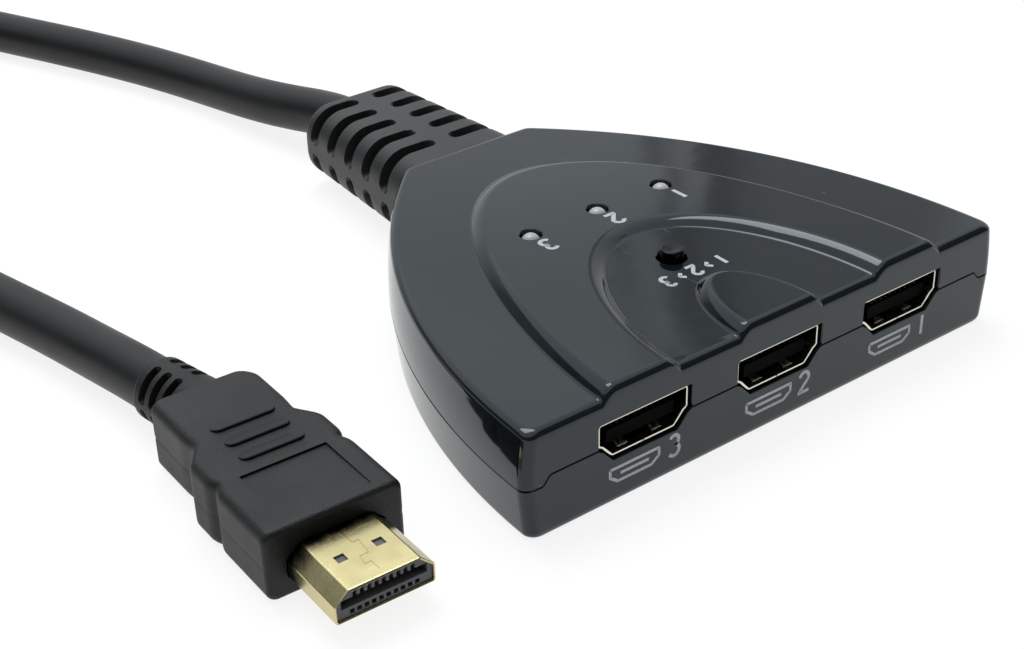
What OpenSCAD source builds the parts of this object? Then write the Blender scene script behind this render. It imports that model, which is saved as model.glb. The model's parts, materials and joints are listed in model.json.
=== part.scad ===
// Three-way video switch with a captive lead: a fan-shaped two-part case with
// three sockets, a select button and three lamps, a slotted boot, a cord and
// its plug. Millimetres, +Z up, origin at the bottom centre of the case.
// The sockets face -Y and the lead leaves the neck at +Y.

/* [Case] */
// Width of the case at its parting line
case_w = 87.8; // [84:0.2:96]
// Depth of the case from socket face to neck
case_d = 71.5; // [69:0.5:74]
// Width of the case at its neck
neck_w = 25.8; // [23:0.1:28]
// Radius of the curved side walls, from the socket face to the neck
side_r = 100; // [92:1:110]
// Height of the flat rim of the top
rim_h = 16.2; // [15.6:0.1:18]
// Rise from the rim to the raised arch
arch_rise = 1.6; // [1.2:0.1:2]
// Drop from the raised arch to the sunk arch
arch_drop = 1.5; // [1:0.1:1.7]
// Height of the parting line on the sides
part_h = 7.9; // [7.5:0.1:8.5]
// Height of the parting line across the socket face
lip_h = 9.2; // [8.8:0.1:10]
// Distance of the parting line's step from the case's side
lip_step = 3.4; // [2.5:0.1:5]
// Wall thickness
wall = 2; // [1.6:0.1:2.2]
// Thickness of floor and roof
skin_t = 1.8; // [1.5:0.1:2]
// Lean of the top cover's walls, as an inset at the rim
cover_lean = 0.6; // [0.4:0.1:1.4]
// Lean of the bottom case's walls, as an inset at the base
base_lean = 0.6; // [0.4:0.1:1.4]
// Radius of the front corners in plan
corner_r = 1.6; // [1:0.1:2.5]
// Radius of the neck's corners in plan
neck_r = 2; // [1:0.1:3]
// Rounding of the top edges
edge_r = 0.9; // [0.5:0.1:1.2]
// Rounding of the bottom edges
base_r = 1.2; // [0.6:0.1:1.6]

/* [Arches on the top] */
// Half width of the raised arch at the socket face
arch1_w = 31; // [29:0.1:33]
// Length of the raised arch
arch1_l = 58.5; // [54:0.5:60]
// Half width of the sunk arch at the socket face
arch2_w = 20; // [18:0.1:22]
// Length of the sunk arch
arch2_l = 32; // [29:0.5:34]
// Half width of the tongue at the socket face
arch3_w = 7.4; // [6:0.1:9]
// Length of the tongue
arch3_l = 14.5; // [12:0.5:16]
// Width of the arches' soft bevels
arch_bevel = 1.5; // [0.8:0.1:1.8]

/* [Sockets] */
// Distance between socket centres
socket_pitch = 24; // [20:0.5:25]
// Outer width of a socket's shell
socket_w = 15.4; // [15:0.1:16]
// Outer width of the shell's narrow side
socket_narrow = 11; // [10.5:0.1:11.5]
// Outer height of the shell
socket_h = 5.7; // [5.6:0.1:6]
// Height of the shell's upright sides
socket_side = 3.6; // [3.2:0.1:3.8]
// Height of the shell's top above the base
socket_top = 12.65; // [12.2:0.05:13]
// Depth of the shell
socket_d = 11.5; // [10.5:0.1:12]
// Sheet thickness of the shell
shell_t = 0.35; // [0.25:0.05:0.4]
// Width of the tongue inside the socket
tongue_w = 11.4; // [11:0.1:12]
// Thickness of the tongue
tongue_t = 1.9; // [1.6:0.1:2]
// Distance of the tongue's tip behind the socket face
tongue_set = 1.2; // [0.8:0.1:2]

/* [Button and lamps] */
// Distance of the button from the socket face
button_y = 22.1; // [20:0.1:24]
// Diameter of the button
button_d = 3.5; // [3:0.1:3.6]
// Height of the button above the sunk arch
button_up = 1.75; // [1:0.05:2.5]
// Diameter of the button's hole in the cover
button_hole = 4.5; // [4.2:0.1:5.2]
// Press of the button
button_travel = 0.25; // [0.15:0.01:0.3]
// Width of the square switch
switch_w = 6; // [5.6:0.1:6.4]
// Height of the switch without its plunger
switch_h = 3.5; // [3.3:0.1:3.8]
// Thickness of the switch's steel cover
frame_t = 0.3; // [0.2:0.05:0.4]
// Distance of the lamps from the socket face
lamp_y = 38.5; // [37:0.5:42]
// Distance between lamps
lamp_pitch = 12.5; // [10:0.5:13]
// Diameter of a lamp's lens
lamp_d = 3; // [2.8:0.1:3.2]
// Diameter of a lamp's hole in the cover
lamp_hole = 3.4; // [3.4:0.1:4]
// Height of a lamp's lens
lamp_h = 5.3; // [4.6:0.1:5.4]
// Height of the lens above the raised arch, less than 0 where it is sunk
lamp_up = -0.3; // [-0.6:0.1:0.6]

/* [Board and screws] */
// Thickness of the circuit board
board_t = 1.6; // [1:0.1:1.7]
// Distance of the board's rear edge from the neck face
board_end = 9.5; // [8.5:0.5:11]
// Diameter of the screws' threads
screw_d = 2.6; // [2.2:0.1:2.8]
// Length of the screws below the head
screw_l = 9; // [7:0.5:9.5]
// Diameter of the screws' heads
head_d = 4.8; // [4:0.1:5]
// Height of the screws' heads
head_h = 1.6; // [1.2:0.1:1.8]
// Depth of the screw heads' counterbores
sink_h = 2.2; // [1.9:0.1:2.4]
// Width of the switching chip
chip_w = 10; // [7:0.5:11]

/* [Boot and lead] */
// Width of the boot at the case
boot_w1 = 24.5; // [22:0.5:25]
// Width of the boot at its free end
boot_w2 = 21.4; // [17:0.2:22]
// Height of the boot at the case
boot_h1 = 14.2; // [12:0.1:14.6]
// Height of the boot at its free end
boot_h2 = 12.8; // [11:0.1:13.4]
// Height of the boot's axis above the base
boot_z = 8.1; // [7.8:0.1:8.7]
// Length of the boot outside the case
boot_l = 33.5; // [33:0.5:36]
// Radius of the boot's long edges
boot_r = 5; // [2:0.1:5.4]
// Rows of slots in the boot
slot_rows = 5; // [3:1:5]
// Distance between slot rows
slot_pitch = 5.7; // [5:0.1:5.8]
// Width of a slot
slot_w = 2.5; // [1.5:0.1:3]
// Distance of the first slot from the case
slot_start = 6.8; // [5:0.1:8]
// Depth of the slots
slot_deep = 2.4; // [1:0.1:2.8]
// Width of the spines along the boot's top and bottom
spine_top = 3.5; // [2:0.1:6]
// Width of the spines along the boot's sides
spine_side = 2.1; // [1:0.1:3]
// Width of the boot's waist inside the neck's wall
waist_w = 14; // [12:0.5:16]
// Height of the boot's waist
waist_h = 8; // [7:0.2:8.4]
// Diameter of the cord
cord_d = 8.2; // [7:0.1:8.2]

/* [Plug] */
// Width of the plug's shell
plug_w = 13.9; // [13.7:0.1:14]
// Width of the shell's narrow side
plug_narrow = 9.9; // [9.6:0.1:10.2]
// Height of the shell
plug_h = 4.45; // [4.4:0.05:4.5]
// Height of the shell's upright sides
plug_side = 2.6; // [2.4:0.1:2.8]
// Length of the shell outside the grip
plug_out = 11.2; // [10.5:0.1:12]
// Length of the shell inside the grip
plug_in = 4; // [3:0.5:6]
// Width of the grip
grip_w = 19.6; // [18:0.2:21]
// Height of the grip
grip_h = 10.2; // [9.6:0.1:11]
// Width of the grip's rear part
grip_rear_w = 15.6; // [14:0.2:16]
// Length of the grip without its tail
grip_l = 35; // [33:0.5:40]
// Radius of the grip's long edges
grip_r = 1.4; // [0.8:0.1:2]
// Diameter of the tail where it leaves the grip
tail_d1 = 9.8; // [9.2:0.1:10]
// Diameter of the tail at the cord
tail_d2 = 9.3; // [8.4:0.1:9.6]
// Length of the tail
tail_l = 10; // [9.5:0.5:14]
// Latch windows' width in the shell
window_w = 1.4; // [1.2:0.1:2.2]

/* [Hidden] */
$fn = 48;
sides = [-1, 1];
// Clearance of parts that pass through or sit in others
fit = 0.1;
// Thin slice that the rounded bodies are stretched between
leaf = 0.02;
// Overshoot of cuts past a face
past = 1;

front_y = -case_d / 2;
neck_y = case_d / 2;
plateau_h = rim_h + arch_rise;
sunk_h = plateau_h - arch_drop;
roof_h = rim_h - skin_t;

// Sharpness of each arch's nose, and steps along a curve
arch1_p = 1.54;
arch2_p = 1.8;
arch3_p = 1.8;
curve_n = 14;
corner_n = 4;
arch_n = 24;
lens_n = 8;
dome_n = 12;
wire_sides = 16;

// Sockets, from 1 at +X to 3 at -X
socket_x = [socket_pitch, 0, -socket_pitch];
// Gap between a socket and the board, and the socket's legs through it
board_gap = 0.15;
board_top = socket_top - socket_h - board_gap;
board_bot = board_top - board_t;
socket_mid = socket_top - socket_h / 2;
leg_l = 1.6;
leg_front = 3.8;
leg_back = 2.3;
leg_y = [leg_front, socket_d - leg_back];
leg_below = 0.6;
leg_z = board_bot - leg_below;
// Block that the tongue grows from, and the contacts on the tongue
root_l = 3.5;
contact_w = 0.35;
contact_t = 0.12;
contact_pitch = 1;
contact_foot = 1.2;
contact_set = 0.4;
contact_gap = 0.15;
contact_tip = tongue_set + contact_set;
contact_back = socket_d + contact_gap + contact_t;
upper_n = 10;
lower_n = 9;

// Button and switch
button_pos = [0, front_y + button_y];
button_top = sunk_h + button_up;
switch_top = board_top + switch_h;
cup_wall = 0.4;
cup_d = switch_w - 2 * cup_wall;
flange_play = 0.3;
flange_d = cup_d - 2 * flange_play;
flange_t = 0.6;
nub_d = 1.6;
nub_t = 0.15;
run = 0.03;
flange_top = switch_top - frame_t - run;
nub_z = flange_top - flange_t - nub_t;
// Sprung dome below the button, a little higher than the button's press
dome_play = 0.2;
dome_d = cup_d - 2 * dome_play;
dome_spare = 0.3;
dome_rise = button_travel + dome_spare;
dome_t = 0.1;
dome_z = nub_z - run - dome_rise;
pin_d = 0.7;
pin_pitch = 4.5;
pin_pos = [for (x = sides, y = sides) [x * (switch_w + pin_d) / 2, y * pin_pitch / 2]];
pin_tail = 1.2;

// Lamps, from 1 at +X to 3 at -X
lamp_x = [lamp_pitch, 0, -lamp_pitch];
lens_top = plateau_h + lamp_up;
lens_z = lens_top - lamp_h;
lens_flange = 0.4;
lens_flange_h = 1;
lead_d = 0.5;
lead_pitch = 2.54;
lead_x = lead_pitch / 2;

// Screws: two beside the sockets and two by the neck
side_screw_in = 7.9;
side_screw_y = 13.5;
neck_screw_x = 15;
neck_screw_y = 15;
screw_pos = [
    [case_w / 2 - side_screw_in, front_y + side_screw_y],
    [side_screw_in - case_w / 2, front_y + side_screw_y],
    [neck_screw_x, neck_y - neck_screw_y],
    [-neck_screw_x, neck_y - neck_screw_y]
];
post_wall = 1.4;
post_d = screw_d + 2 * post_wall;
foot_wall = 1.3;
foot_d = head_d + 2 * foot_wall;
head_play = 0.2;
board_play = 0.4;
board_hole = screw_d + 2 * board_play;
drive_w = 0.7;
drive_l = 2.8;

// Board's clearance to the walls, and the parts on it
board_gap_x = 0.4;
board_gap_y = 0.6;
chip_t = 1.4;
chip_up = 0.1;
chip_pins = 16;
chip_pin_pitch = 0.5;
chip_pin_w = 0.22;
chip_pin_l = 1;
chip_pin_t = 0.15;
cap_size = [1.6, 0.8, 0.8];
cap_x = [-10, -5, 5, 10];
cap_y = [27, 31];
cap_pos = [for (x = cap_x, y = cap_y) [x, front_y + y]];
res_size = [1.6, 0.8, 0.45];
res_x = [-26, -24, -22, 22, 24, 26];
res_y = [20, 23];
res_pos = [for (x = res_x, y = res_y) [x, front_y + y]];

// Boot: its collar inside the neck, and the rounding of the slots' floors
collar_out = 1.2;
collar_w = waist_w + 2 * collar_out;
collar_up = 0.8;
collar_h = waist_h + 2 * collar_up;
collar_t = 1.2;
collar_y = neck_y - wall - fit - collar_t;
slot_r = 2.5;
// The side spines run this far above the boot's axis
spine_up = 0.4;

// Wires from the lead to the board
wire_n = 6;
wire_d = 1;
wire_in = 1.25;
wire_out = 2.2;
wire_on = 3;
wire_y = collar_y - wire_d / 2;
wire_end_y = neck_y - board_end - wire_on;

// The chip lies midway between the lamps and the wires' ends
chip_pos = [0, (front_y + lamp_y + wire_end_y) / 2];

// Plug, where it lies: shell front, turn about Z, and its own sizes
plug_pos = [-65.2, -36.8, 0];
plug_turn = -1.8;
plug_z = grip_h / 2;
plug_shell_t = 0.3;
grip_y = plug_out;
mould_l = 12;
mould_w = plug_w;
mould_h = 6.4;
mouth_w = 11.9;
mouth_h = 2.2;
mouth_d = 8.5;
slit_w = 0.6;
slit_h = 0.5;
face_set = 0.5;
plug_contact_t = 0.2;
window_y = 5.6;
window_x = 2.65;
dip_y = 13;
dip_l = 3.4;
dip_in = 0.5;
taper_y = 23;
taper_l = 4.6;
shoulder_l = 1.2;
shoulder_in = 0.8;
tail_rows = 3;
tail_pitch = 2.4;
tail_slot = 1.05;
tail_spine = 3;
tail_start = 2.5;
tail_deep = 1.1;
tail_root = 1.5;
tail_turn = 10.5;
grip_n = 40;

// The cord's route after the boot, to the plug's tail
cord_sides = 12;
cord_steps = 2;
cord_route = [
    [-0.1, 74.5, 7.9],
    [-0.9, 80, 7.3],
    [-2.2, 86, 6.5],
    [-3.7, 93, 5.7],
    [-5, 101, 4.9],
    [-6.5, 110, 4.3],
    [-8.8, 119, 4.2],
    [-12.3, 130, 4.2],
    [-17.2, 143, 4.2],
    [-23.5, 158, 4.2],
    [-30.5, 174, 4.2],
    [-38.2, 190, 4.2],
    [-47.3, 202.6, 4.2],
    [-60.3, 210.8, 4.2],
    [-75.6, 212.9, 4.2],
    [-90.4, 208.7, 4.2],
    [-102.2, 198.8, 4.2],
    [-108.9, 184.9, 4.2],
    [-109.4, 169.6, 4.2],
    [-106, 154.5, 4.2],
    [-100.5, 139.5, 4.2],
    [-94.8, 124.5, 4.2],
    [-89.3, 110, 4.2],
    [-84, 95, 4.2],
    [-79, 80, 4.2],
    [-74.5, 67, 4.2],
    [-71.6, 55, 4.2],
    [-69.1, 44, 4.2],
    [-67.3, 34, 4.4],
    [-66.2, 26.5, 4.8]
];

// Points of an arc
function arc(c, r, a0, a1, n) =
    [for (i = [0 : n]) let (a = a0 + (a1 - a0) * i / n) c + r * [cos(a), sin(a)]];

// The mirror image of a half outline, run backwards
function mirrored(pts) =
    [for (i = [len(pts) - 1 : -1 : 0]) [-pts[i][0], pts[i][1]]];

// Centre of the right side's arc, which runs from the front to the neck
side_run = [(neck_w - case_w) / 2, case_d];
side_mid = [(neck_w + case_w) / 4, 0];
side_back = sqrt(pow(side_r, 2) - pow(norm(side_run) / 2, 2)) / norm(side_run);
side_c = side_mid - side_back * [side_run[1], -side_run[0]];

// Right half of the case's outline: front corner, side arc, neck corner,
// moved in by e at the sides, f at the front and b at the neck
function half_outline(e, f, b) =
    let (
        c = side_c,
        r = side_r - e,
        y0 = front_y + f + corner_r,
        y1 = neck_y - b - neck_r,
        p0 = [c[0] + sqrt(pow(r - corner_r, 2) - pow(y0 - c[1], 2)), y0],
        p1 = [c[0] + sqrt(pow(r - neck_r, 2) - pow(y1 - c[1], 2)), y1],
        a0 = atan2(p0[1] - c[1], p0[0] - c[0]),
        a1 = atan2(p1[1] - c[1], p1[0] - c[0])
    )
    concat(
        arc(p0, corner_r, -90, a0, corner_n),
        arc(c, r, a0 + (a1 - a0) / curve_n, a1 - (a1 - a0) / curve_n, curve_n - 2),
        arc(p1, neck_r, a1, 90, corner_n)
    );

function outline(e, f, b) =
    let (half = half_outline(e, f, b)) concat(half, mirrored(half));

// Arch that is open at the socket face: half width w, length l, nose p
function arch(w, l, p, f) =
    concat(
        [for (i = [0 : arch_n]) let (a = 90 - 180 * i / arch_n)
            [w * sin(a), front_y + f + (l - f) * pow(max(cos(a), 0), 2 / p)]],
        f < 0 ? [[-w, front_y + f], [w, front_y + f]] : []
    );

// Rounded rectangle about the origin
function round_rect(w, h, r) =
    concat(
        arc([w / 2 - r, h / 2 - r], r, 0, 90, corner_n),
        arc([r - w / 2, h / 2 - r], r, 90, 180, corner_n),
        arc([r - w / 2, r - h / 2], r, 180, 270, corner_n),
        arc([w / 2 - r, r - h / 2], r, 270, 360, corner_n)
    );

// Socket and plug profile, narrow side down, top edge at 0, with all sides moved in
function shell_profile(w, narrow, h, side, in) =
    let (
        dx = (w - narrow) / 2,
        dz = h - side,
        slant = norm([dx, dz]),
        x = narrow / 2 - in * (slant - dx) / dz,
        z = -side + in * (slant - dz) / dx
    )
    [
        [in - w / 2, -in], [w / 2 - in, -in], [w / 2 - in, z],
        [x, in - h], [-x, in - h], [in - w / 2, z]
    ];

module leaf_at(z, pts) {
    translate([0, 0, z]) linear_extrude(leaf) polygon(pts);
}

// A profile in X and Z, drawn from y0 towards +Y
module run_y(y0, l) {
    translate([0, y0 + l, 0]) rotate([90, 0, 0]) linear_extrude(l) children();
}

// The whole case as one body, without its arches
module case_body() {
    hull() {
        leaf_at(0, outline(base_lean + base_r, base_r / 2, base_r / 2));
        leaf_at(base_r, outline(base_lean, 0, 0));
        leaf_at(part_h, outline(0, 0, 0));
        leaf_at(rim_h - edge_r, outline(cover_lean, 0, 0));
        leaf_at(rim_h - leaf, outline(cover_lean + edge_r, edge_r, edge_r));
    }
}

// A raised arch with a soft bevel, from inside the rim up to h
module raised_arch(w, l, p, h) {
    hull() {
        leaf_at(rim_h - edge_r, arch(w, l, p, 0));
        leaf_at(h - edge_r, arch(w - arch_bevel / 2, l - arch_bevel / 2, p, 0));
        leaf_at(h - leaf, arch(w - arch_bevel, l - arch_bevel, p, edge_r));
    }
}

module sunk_arch() {
    hull() {
        leaf_at(sunk_h, arch(arch2_w - arch_bevel, arch2_l - arch_bevel, arch2_p, -past));
        leaf_at(plateau_h + leaf, arch(arch2_w, arch2_l, arch2_p, -past));
    }
}

// The strip of the socket face that belongs to the bottom case
module lip(y1) {
    x1 = case_w / 2 - lip_step;
    slant = lip_h - part_h;
    run_y(front_y - past, y1 + past)
        polygon([[-x1, part_h], [x1, part_h], [x1 - slant, lip_h], [slant - x1, lip_h]]);
}

module socket_outline(in) {
    polygon(shell_profile(socket_w, socket_narrow, socket_h, socket_side, in));
}

module at_sockets() {
    for (x = socket_x) translate([x, front_y, socket_top]) children();
}

module socket_holes() {
    at_sockets() run_y(-past, wall + 2 * past) socket_outline(-fit);
}

module neck_hole() {
    translate([-waist_w / 2 - fit, neck_y - wall - past, boot_z - waist_h / 2 - fit])
        cube([waist_w + 2 * fit, wall + 2 * past, waist_h + 2 * fit]);
}

module cover_cavity() {
    hull() {
        leaf_at(part_h - past, outline(wall, wall, wall));
        leaf_at(part_h, outline(wall, wall, wall));
        leaf_at(roof_h - leaf, outline(wall + cover_lean, wall, wall));
    }
}

// Hollow under the raised arch, clear of the sunk one
module arch_pocket() {
    in = wall + arch_bevel;
    translate([0, 0, roof_h - leaf]) linear_extrude(arch_rise + leaf) difference() {
        polygon(arch(arch1_w - in, arch1_l - in, arch1_p, wall));
        polygon(arch(arch2_w + wall, arch2_l + wall, arch2_p, -past));
    }
}

module cover_posts() {
    for (p = screw_pos) translate([p[0], p[1], board_top])
        cylinder(d = post_d, h = roof_h + skin_t / 2 - board_top);
}

module screw_bores() {
    for (p = screw_pos) translate([p[0], p[1], board_top - past])
        cylinder(d = screw_d + fit, h = sink_h + screw_l + fit - board_top + past);
}

module top_cover() {
    color([0.13, 0.14, 0.15]) difference() {
        union() {
            difference() {
                union() {
                    intersection() {
                        case_body();
                        translate([-case_w, -case_d, part_h]) cube([2 * case_w, 2 * case_d, rim_h]);
                    }
                    raised_arch(arch1_w, arch1_l, arch1_p, plateau_h);
                }
                sunk_arch();
            }
            raised_arch(arch3_w, arch3_l, arch3_p, plateau_h);
        }
        difference() {
            union() {
                cover_cavity();
                arch_pocket();
            }
            cover_posts();
        }
        lip(wall);
        socket_holes();
        neck_hole();
        screw_bores();
        translate([button_pos[0], button_pos[1], roof_h - past])
            cylinder(d = button_hole, h = plateau_h - roof_h + 2 * past);
        for (x = lamp_x) translate([x, front_y + lamp_y, roof_h - past])
            cylinder(d = lamp_hole, h = plateau_h - roof_h + 2 * past);
    }
}

module case_cavity() {
    hull() {
        leaf_at(skin_t, outline(wall + base_lean, wall, wall));
        leaf_at(part_h, outline(wall, wall, wall));
        leaf_at(lip_h + past, outline(wall, wall, wall));
    }
}

module bottom_case() {
    color([0.15, 0.16, 0.17]) difference() {
        union() {
            difference() {
                intersection() {
                    case_body();
                    union() {
                        translate([-case_w, -case_d, -past]) cube([2 * case_w, 2 * case_d, part_h + past]);
                        lip(wall);
                    }
                }
                case_cavity();
            }
            for (p = screw_pos) translate([p[0], p[1], skin_t / 2])
                cylinder(d = foot_d, h = board_bot - skin_t / 2);
        }
        socket_holes();
        neck_hole();
        for (p = screw_pos) translate([p[0], p[1], -past]) {
            cylinder(d = head_d + 2 * head_play, h = sink_h + past);
            cylinder(d = screw_d + 2 * fit, h = board_bot + 2 * past);
        }
    }
}

// Pan-head screws, driven from below
module case_screws() {
    color([0.72, 0.73, 0.75]) for (p = screw_pos) translate([p[0], p[1], sink_h]) difference() {
        union() {
            cylinder(d = screw_d, h = screw_l);
            translate([0, 0, -head_h]) cylinder(d = head_d, h = head_h);
        }
        for (a = [0, 90]) rotate(a) translate([-drive_l / 2, -drive_w / 2, -head_h - past])
            cube([drive_l, drive_w, past + head_h / 2]);
    }
}

module leg_boxes(grow) {
    at_sockets() for (s = sides, y = leg_y)
        translate([s * (socket_w - shell_t) / 2 - shell_t / 2 - grow, y - grow, leg_z - socket_top])
            cube([shell_t + 2 * grow, leg_l + 2 * grow, board_top - leg_z + leaf]);
}

module circuit_board() {
    color([0.1, 0.35, 0.18]) difference() {
        translate([0, 0, board_bot]) linear_extrude(board_t)
            polygon(outline(wall + base_lean + board_gap_x, wall + board_gap_y, board_end));
        for (p = screw_pos) translate([p[0], p[1], board_bot - past])
            cylinder(d = board_hole, h = board_t + 2 * past);
        for (x = lamp_x, s = sides) translate([x + s * lead_x, front_y + lamp_y, board_bot - past])
            cylinder(d = lead_d + 2 * fit, h = board_t + 2 * past);
        for (p = pin_pos) translate([button_pos[0] + p[0], button_pos[1] + p[1], board_bot - past])
            cylinder(d = pin_d + 2 * fit, h = board_t + 2 * past);
        leg_boxes(fit);
    }
}

module socket_shell(i) {
    color([0.8, 0.8, 0.8]) translate([socket_x[i - 1], front_y, socket_top]) {
        difference() {
            run_y(0, socket_d) socket_outline(0);
            run_y(-past, socket_d + 2 * past) socket_outline(shell_t);
        }
        for (s = sides, y = leg_y)
            translate([s * (socket_w - shell_t) / 2 - shell_t / 2, y, leg_z - socket_top])
                cube([shell_t, leg_l, socket_top - socket_side / 2 - leg_z]);
    }
}

// One socket contact: a strip along the tongue, a drop and a foot on the board
module socket_contact(x, z) {
    drop = board_top - socket_top;
    translate([x - contact_w / 2, 0, 0]) {
        translate([0, contact_tip, z]) cube([contact_w, contact_back - contact_tip, contact_t]);
        translate([0, contact_back - contact_t, drop]) cube([contact_w, contact_t, z + contact_t - drop]);
        translate([0, contact_back - contact_t, drop]) cube([contact_w, contact_foot, contact_t]);
    }
}

module socket_strips() {
    mid = socket_mid - socket_top;
    for (k = [0 : upper_n - 1])
        socket_contact((k - (upper_n - 1) / 2) * contact_pitch, mid + tongue_t / 2);
    for (k = [0 : lower_n - 1])
        socket_contact((k - (lower_n - 1) / 2) * contact_pitch, mid - tongue_t / 2 - contact_t);
}

module socket_tongue(i) {
    mid = socket_mid - socket_top;
    color([0.09, 0.09, 0.1]) translate([socket_x[i - 1], front_y, socket_top]) difference() {
        union() {
            run_y(socket_d - root_l, root_l) socket_outline(shell_t + leaf);
            translate([-tongue_w / 2, tongue_set, mid - tongue_t / 2])
                cube([tongue_w, socket_d - tongue_set, tongue_t]);
        }
        socket_strips();
    }
}

module socket_contacts(i) {
    color([0.85, 0.7, 0.35]) translate([socket_x[i - 1], front_y, socket_top]) socket_strips();
}

// Lens with a flange at its foot and a domed top
module lamp_lens(i) {
    color([0.93, 0.94, 0.95]) translate([lamp_x[i - 1], front_y + lamp_y, lens_z])
        rotate_extrude() polygon(concat(
            [[0, 0], [lamp_d / 2 + lens_flange, 0], [lamp_d / 2 + lens_flange, lens_flange_h],
             [lamp_d / 2, lens_flange_h]],
            arc([0, lamp_h - lamp_d / 2], lamp_d / 2, 0, 90, lens_n)
        ));
}

module lamp_leads() {
    color([0.75, 0.75, 0.77]) for (x = lamp_x, s = sides)
        translate([x + s * lead_x, front_y + lamp_y, board_bot - pin_tail])
            cylinder(d = lead_d, h = lens_z - board_bot + pin_tail);
}

module at_button(z) {
    translate([button_pos[0], button_pos[1], z]) children();
}

module switch_base() {
    h = switch_h - frame_t;
    color([0.1, 0.1, 0.11]) difference() {
        at_button(board_top) translate([-switch_w / 2, -switch_w / 2, 0]) cube([switch_w, switch_w, h]);
        at_button(dome_z) cylinder(d = cup_d, h = switch_h);
    }
}

module switch_frame() {
    color([0.8, 0.8, 0.82]) difference() {
        at_button(switch_top - frame_t) translate([-switch_w / 2, -switch_w / 2, 0])
            cube([switch_w, switch_w, frame_t]);
        at_button(switch_top - past) cylinder(d = button_d + 2 * fit, h = 2 * past);
    }
}

// Four pins, from the sides of the switch's base through the board
module switch_pins() {
    color([0.75, 0.75, 0.77]) for (p = pin_pos)
        at_button(board_bot - pin_tail) translate([p[0], p[1], 0])
            cylinder(d = pin_d, h = board_t + pin_tail + switch_h / 2);
}

// Sprung metal dome that the plunger snaps through
module snap_dome() {
    color([0.85, 0.85, 0.86]) at_button(dome_z) rotate_extrude() difference() {
        dome_cap(dome_d / 2, dome_rise);
        dome_cap(dome_d / 2 - dome_t, dome_rise - dome_t);
    }
}

// Half section of a spherical cap
module dome_cap(r, h) {
    ball = (r * r + h * h) / 2 / h;
    polygon(concat([[0, 0]], arc([0, h - ball], ball, asin((ball - h) / ball), 90, dome_n)));
}

module select_button() {
    color([0.06, 0.06, 0.07]) {
        at_button(nub_z) cylinder(d = nub_d, h = nub_t + leaf);
        at_button(flange_top - flange_t) cylinder(d = flange_d, h = flange_t);
        at_button(flange_top - leaf) cylinder(d = button_d, h = button_top - flange_top + leaf);
    }
}

module switching_chip() {
    color([0.08, 0.08, 0.09]) translate([chip_pos[0], chip_pos[1], board_top + chip_up])
        translate([-chip_w / 2, -chip_w / 2, 0]) cube([chip_w, chip_w, chip_t]);
}

module chip_leads() {
    color([0.78, 0.78, 0.8]) translate([chip_pos[0], chip_pos[1], board_top])
        for (a = [0 : 90 : 270], k = [0 : chip_pins - 1]) rotate(a)
            translate([chip_w / 2, (k - (chip_pins - 1) / 2) * chip_pin_pitch - chip_pin_w / 2, 0]) {
                cube([chip_pin_l, chip_pin_w, chip_pin_t]);
                cube([chip_pin_t, chip_pin_w, chip_t / 2 + chip_pin_t]);
            }
}

module on_board(places, size) {
    for (p = places) translate([p[0] - size[0] / 2, p[1] - size[1] / 2, board_top]) cube(size);
}

module capacitors() {
    color([0.62, 0.5, 0.36]) on_board(cap_pos, cap_size);
}

module resistors() {
    color([0.12, 0.12, 0.13]) on_board(res_pos, res_size);
}

// A straight rod from a to b
module rod(a, b, d) {
    v = b - a;
    translate(a) rotate([0, acos(v[2] / norm(v)), atan2(v[1], v[0])])
        cylinder(d = d, h = norm(v), $fn = wire_sides);
}

module lead_wires() {
    z = board_top + wire_d / 2 + leaf;
    color([0.85, 0.55, 0.2]) for (k = [0 : wire_n - 1]) let (s = k - (wire_n - 1) / 2)
        rod([s * wire_in, wire_y, boot_z], [s * wire_out, wire_end_y, z], wire_d);
}

// Tapered boot moulded round the lead, with corner slots between four spines
module boot_block(w1, h1, w2, h2, r) {
    hull() {
        run_y(0, leaf) polygon(round_rect(w1, h1, r));
        run_y(boot_l - leaf, leaf) polygon(round_rect(w2, h2, r));
    }
}

module boot_slots() {
    for (k = [0 : slot_rows - 1])
        translate([-boot_w1, slot_start + k * slot_pitch - slot_w / 2, -boot_h1])
            cube([2 * boot_w1, slot_w, 2 * boot_h1]);
}

module boot() {
    color([0.07, 0.07, 0.08]) translate([0, neck_y, boot_z]) {
        difference() {
            boot_block(boot_w1, boot_h1, boot_w2, boot_h2, boot_r);
            difference() {
                boot_slots();
                boot_block(boot_w1 - 2 * slot_deep, boot_h1 - 2 * slot_deep,
                           boot_w2 - 2 * slot_deep, boot_h2 - 2 * slot_deep, slot_r);
                translate([-spine_top / 2, 0, -boot_h1]) cube([spine_top, boot_l, 2 * boot_h1]);
                translate([-boot_w1, 0, spine_up - spine_side / 2]) cube([2 * boot_w1, boot_l, spine_side]);
            }
        }
        translate([-waist_w / 2, -wall - fit, -waist_h / 2]) cube([waist_w, wall + 2 * fit, waist_h]);
        translate([-collar_w / 2, collar_y - neck_y, -collar_h / 2]) cube([collar_w, collar_t, collar_h]);
    }
}

// Point of the smooth curve through the route's points, at place u between
// point i and the next
function bend(p, i, u) =
    let (
        n = len(p) - 1,
        a = p[max(i - 1, 0)],
        b = p[i],
        c = p[min(i + 1, n)],
        d = p[min(i + 2, n)]
    )
    0.5 * (2 * b + (c - a) * u + (2 * a - 5 * b + 4 * c - d) * u * u
        + (3 * b - a - 3 * c + d) * u * u * u);

// Points along the whole curve, steps to a stretch
function along(p, steps) =
    concat([for (i = [0 : len(p) - 2], k = [0 : steps - 1]) bend(p, i, k / steps)], [p[len(p) - 1]]);

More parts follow.
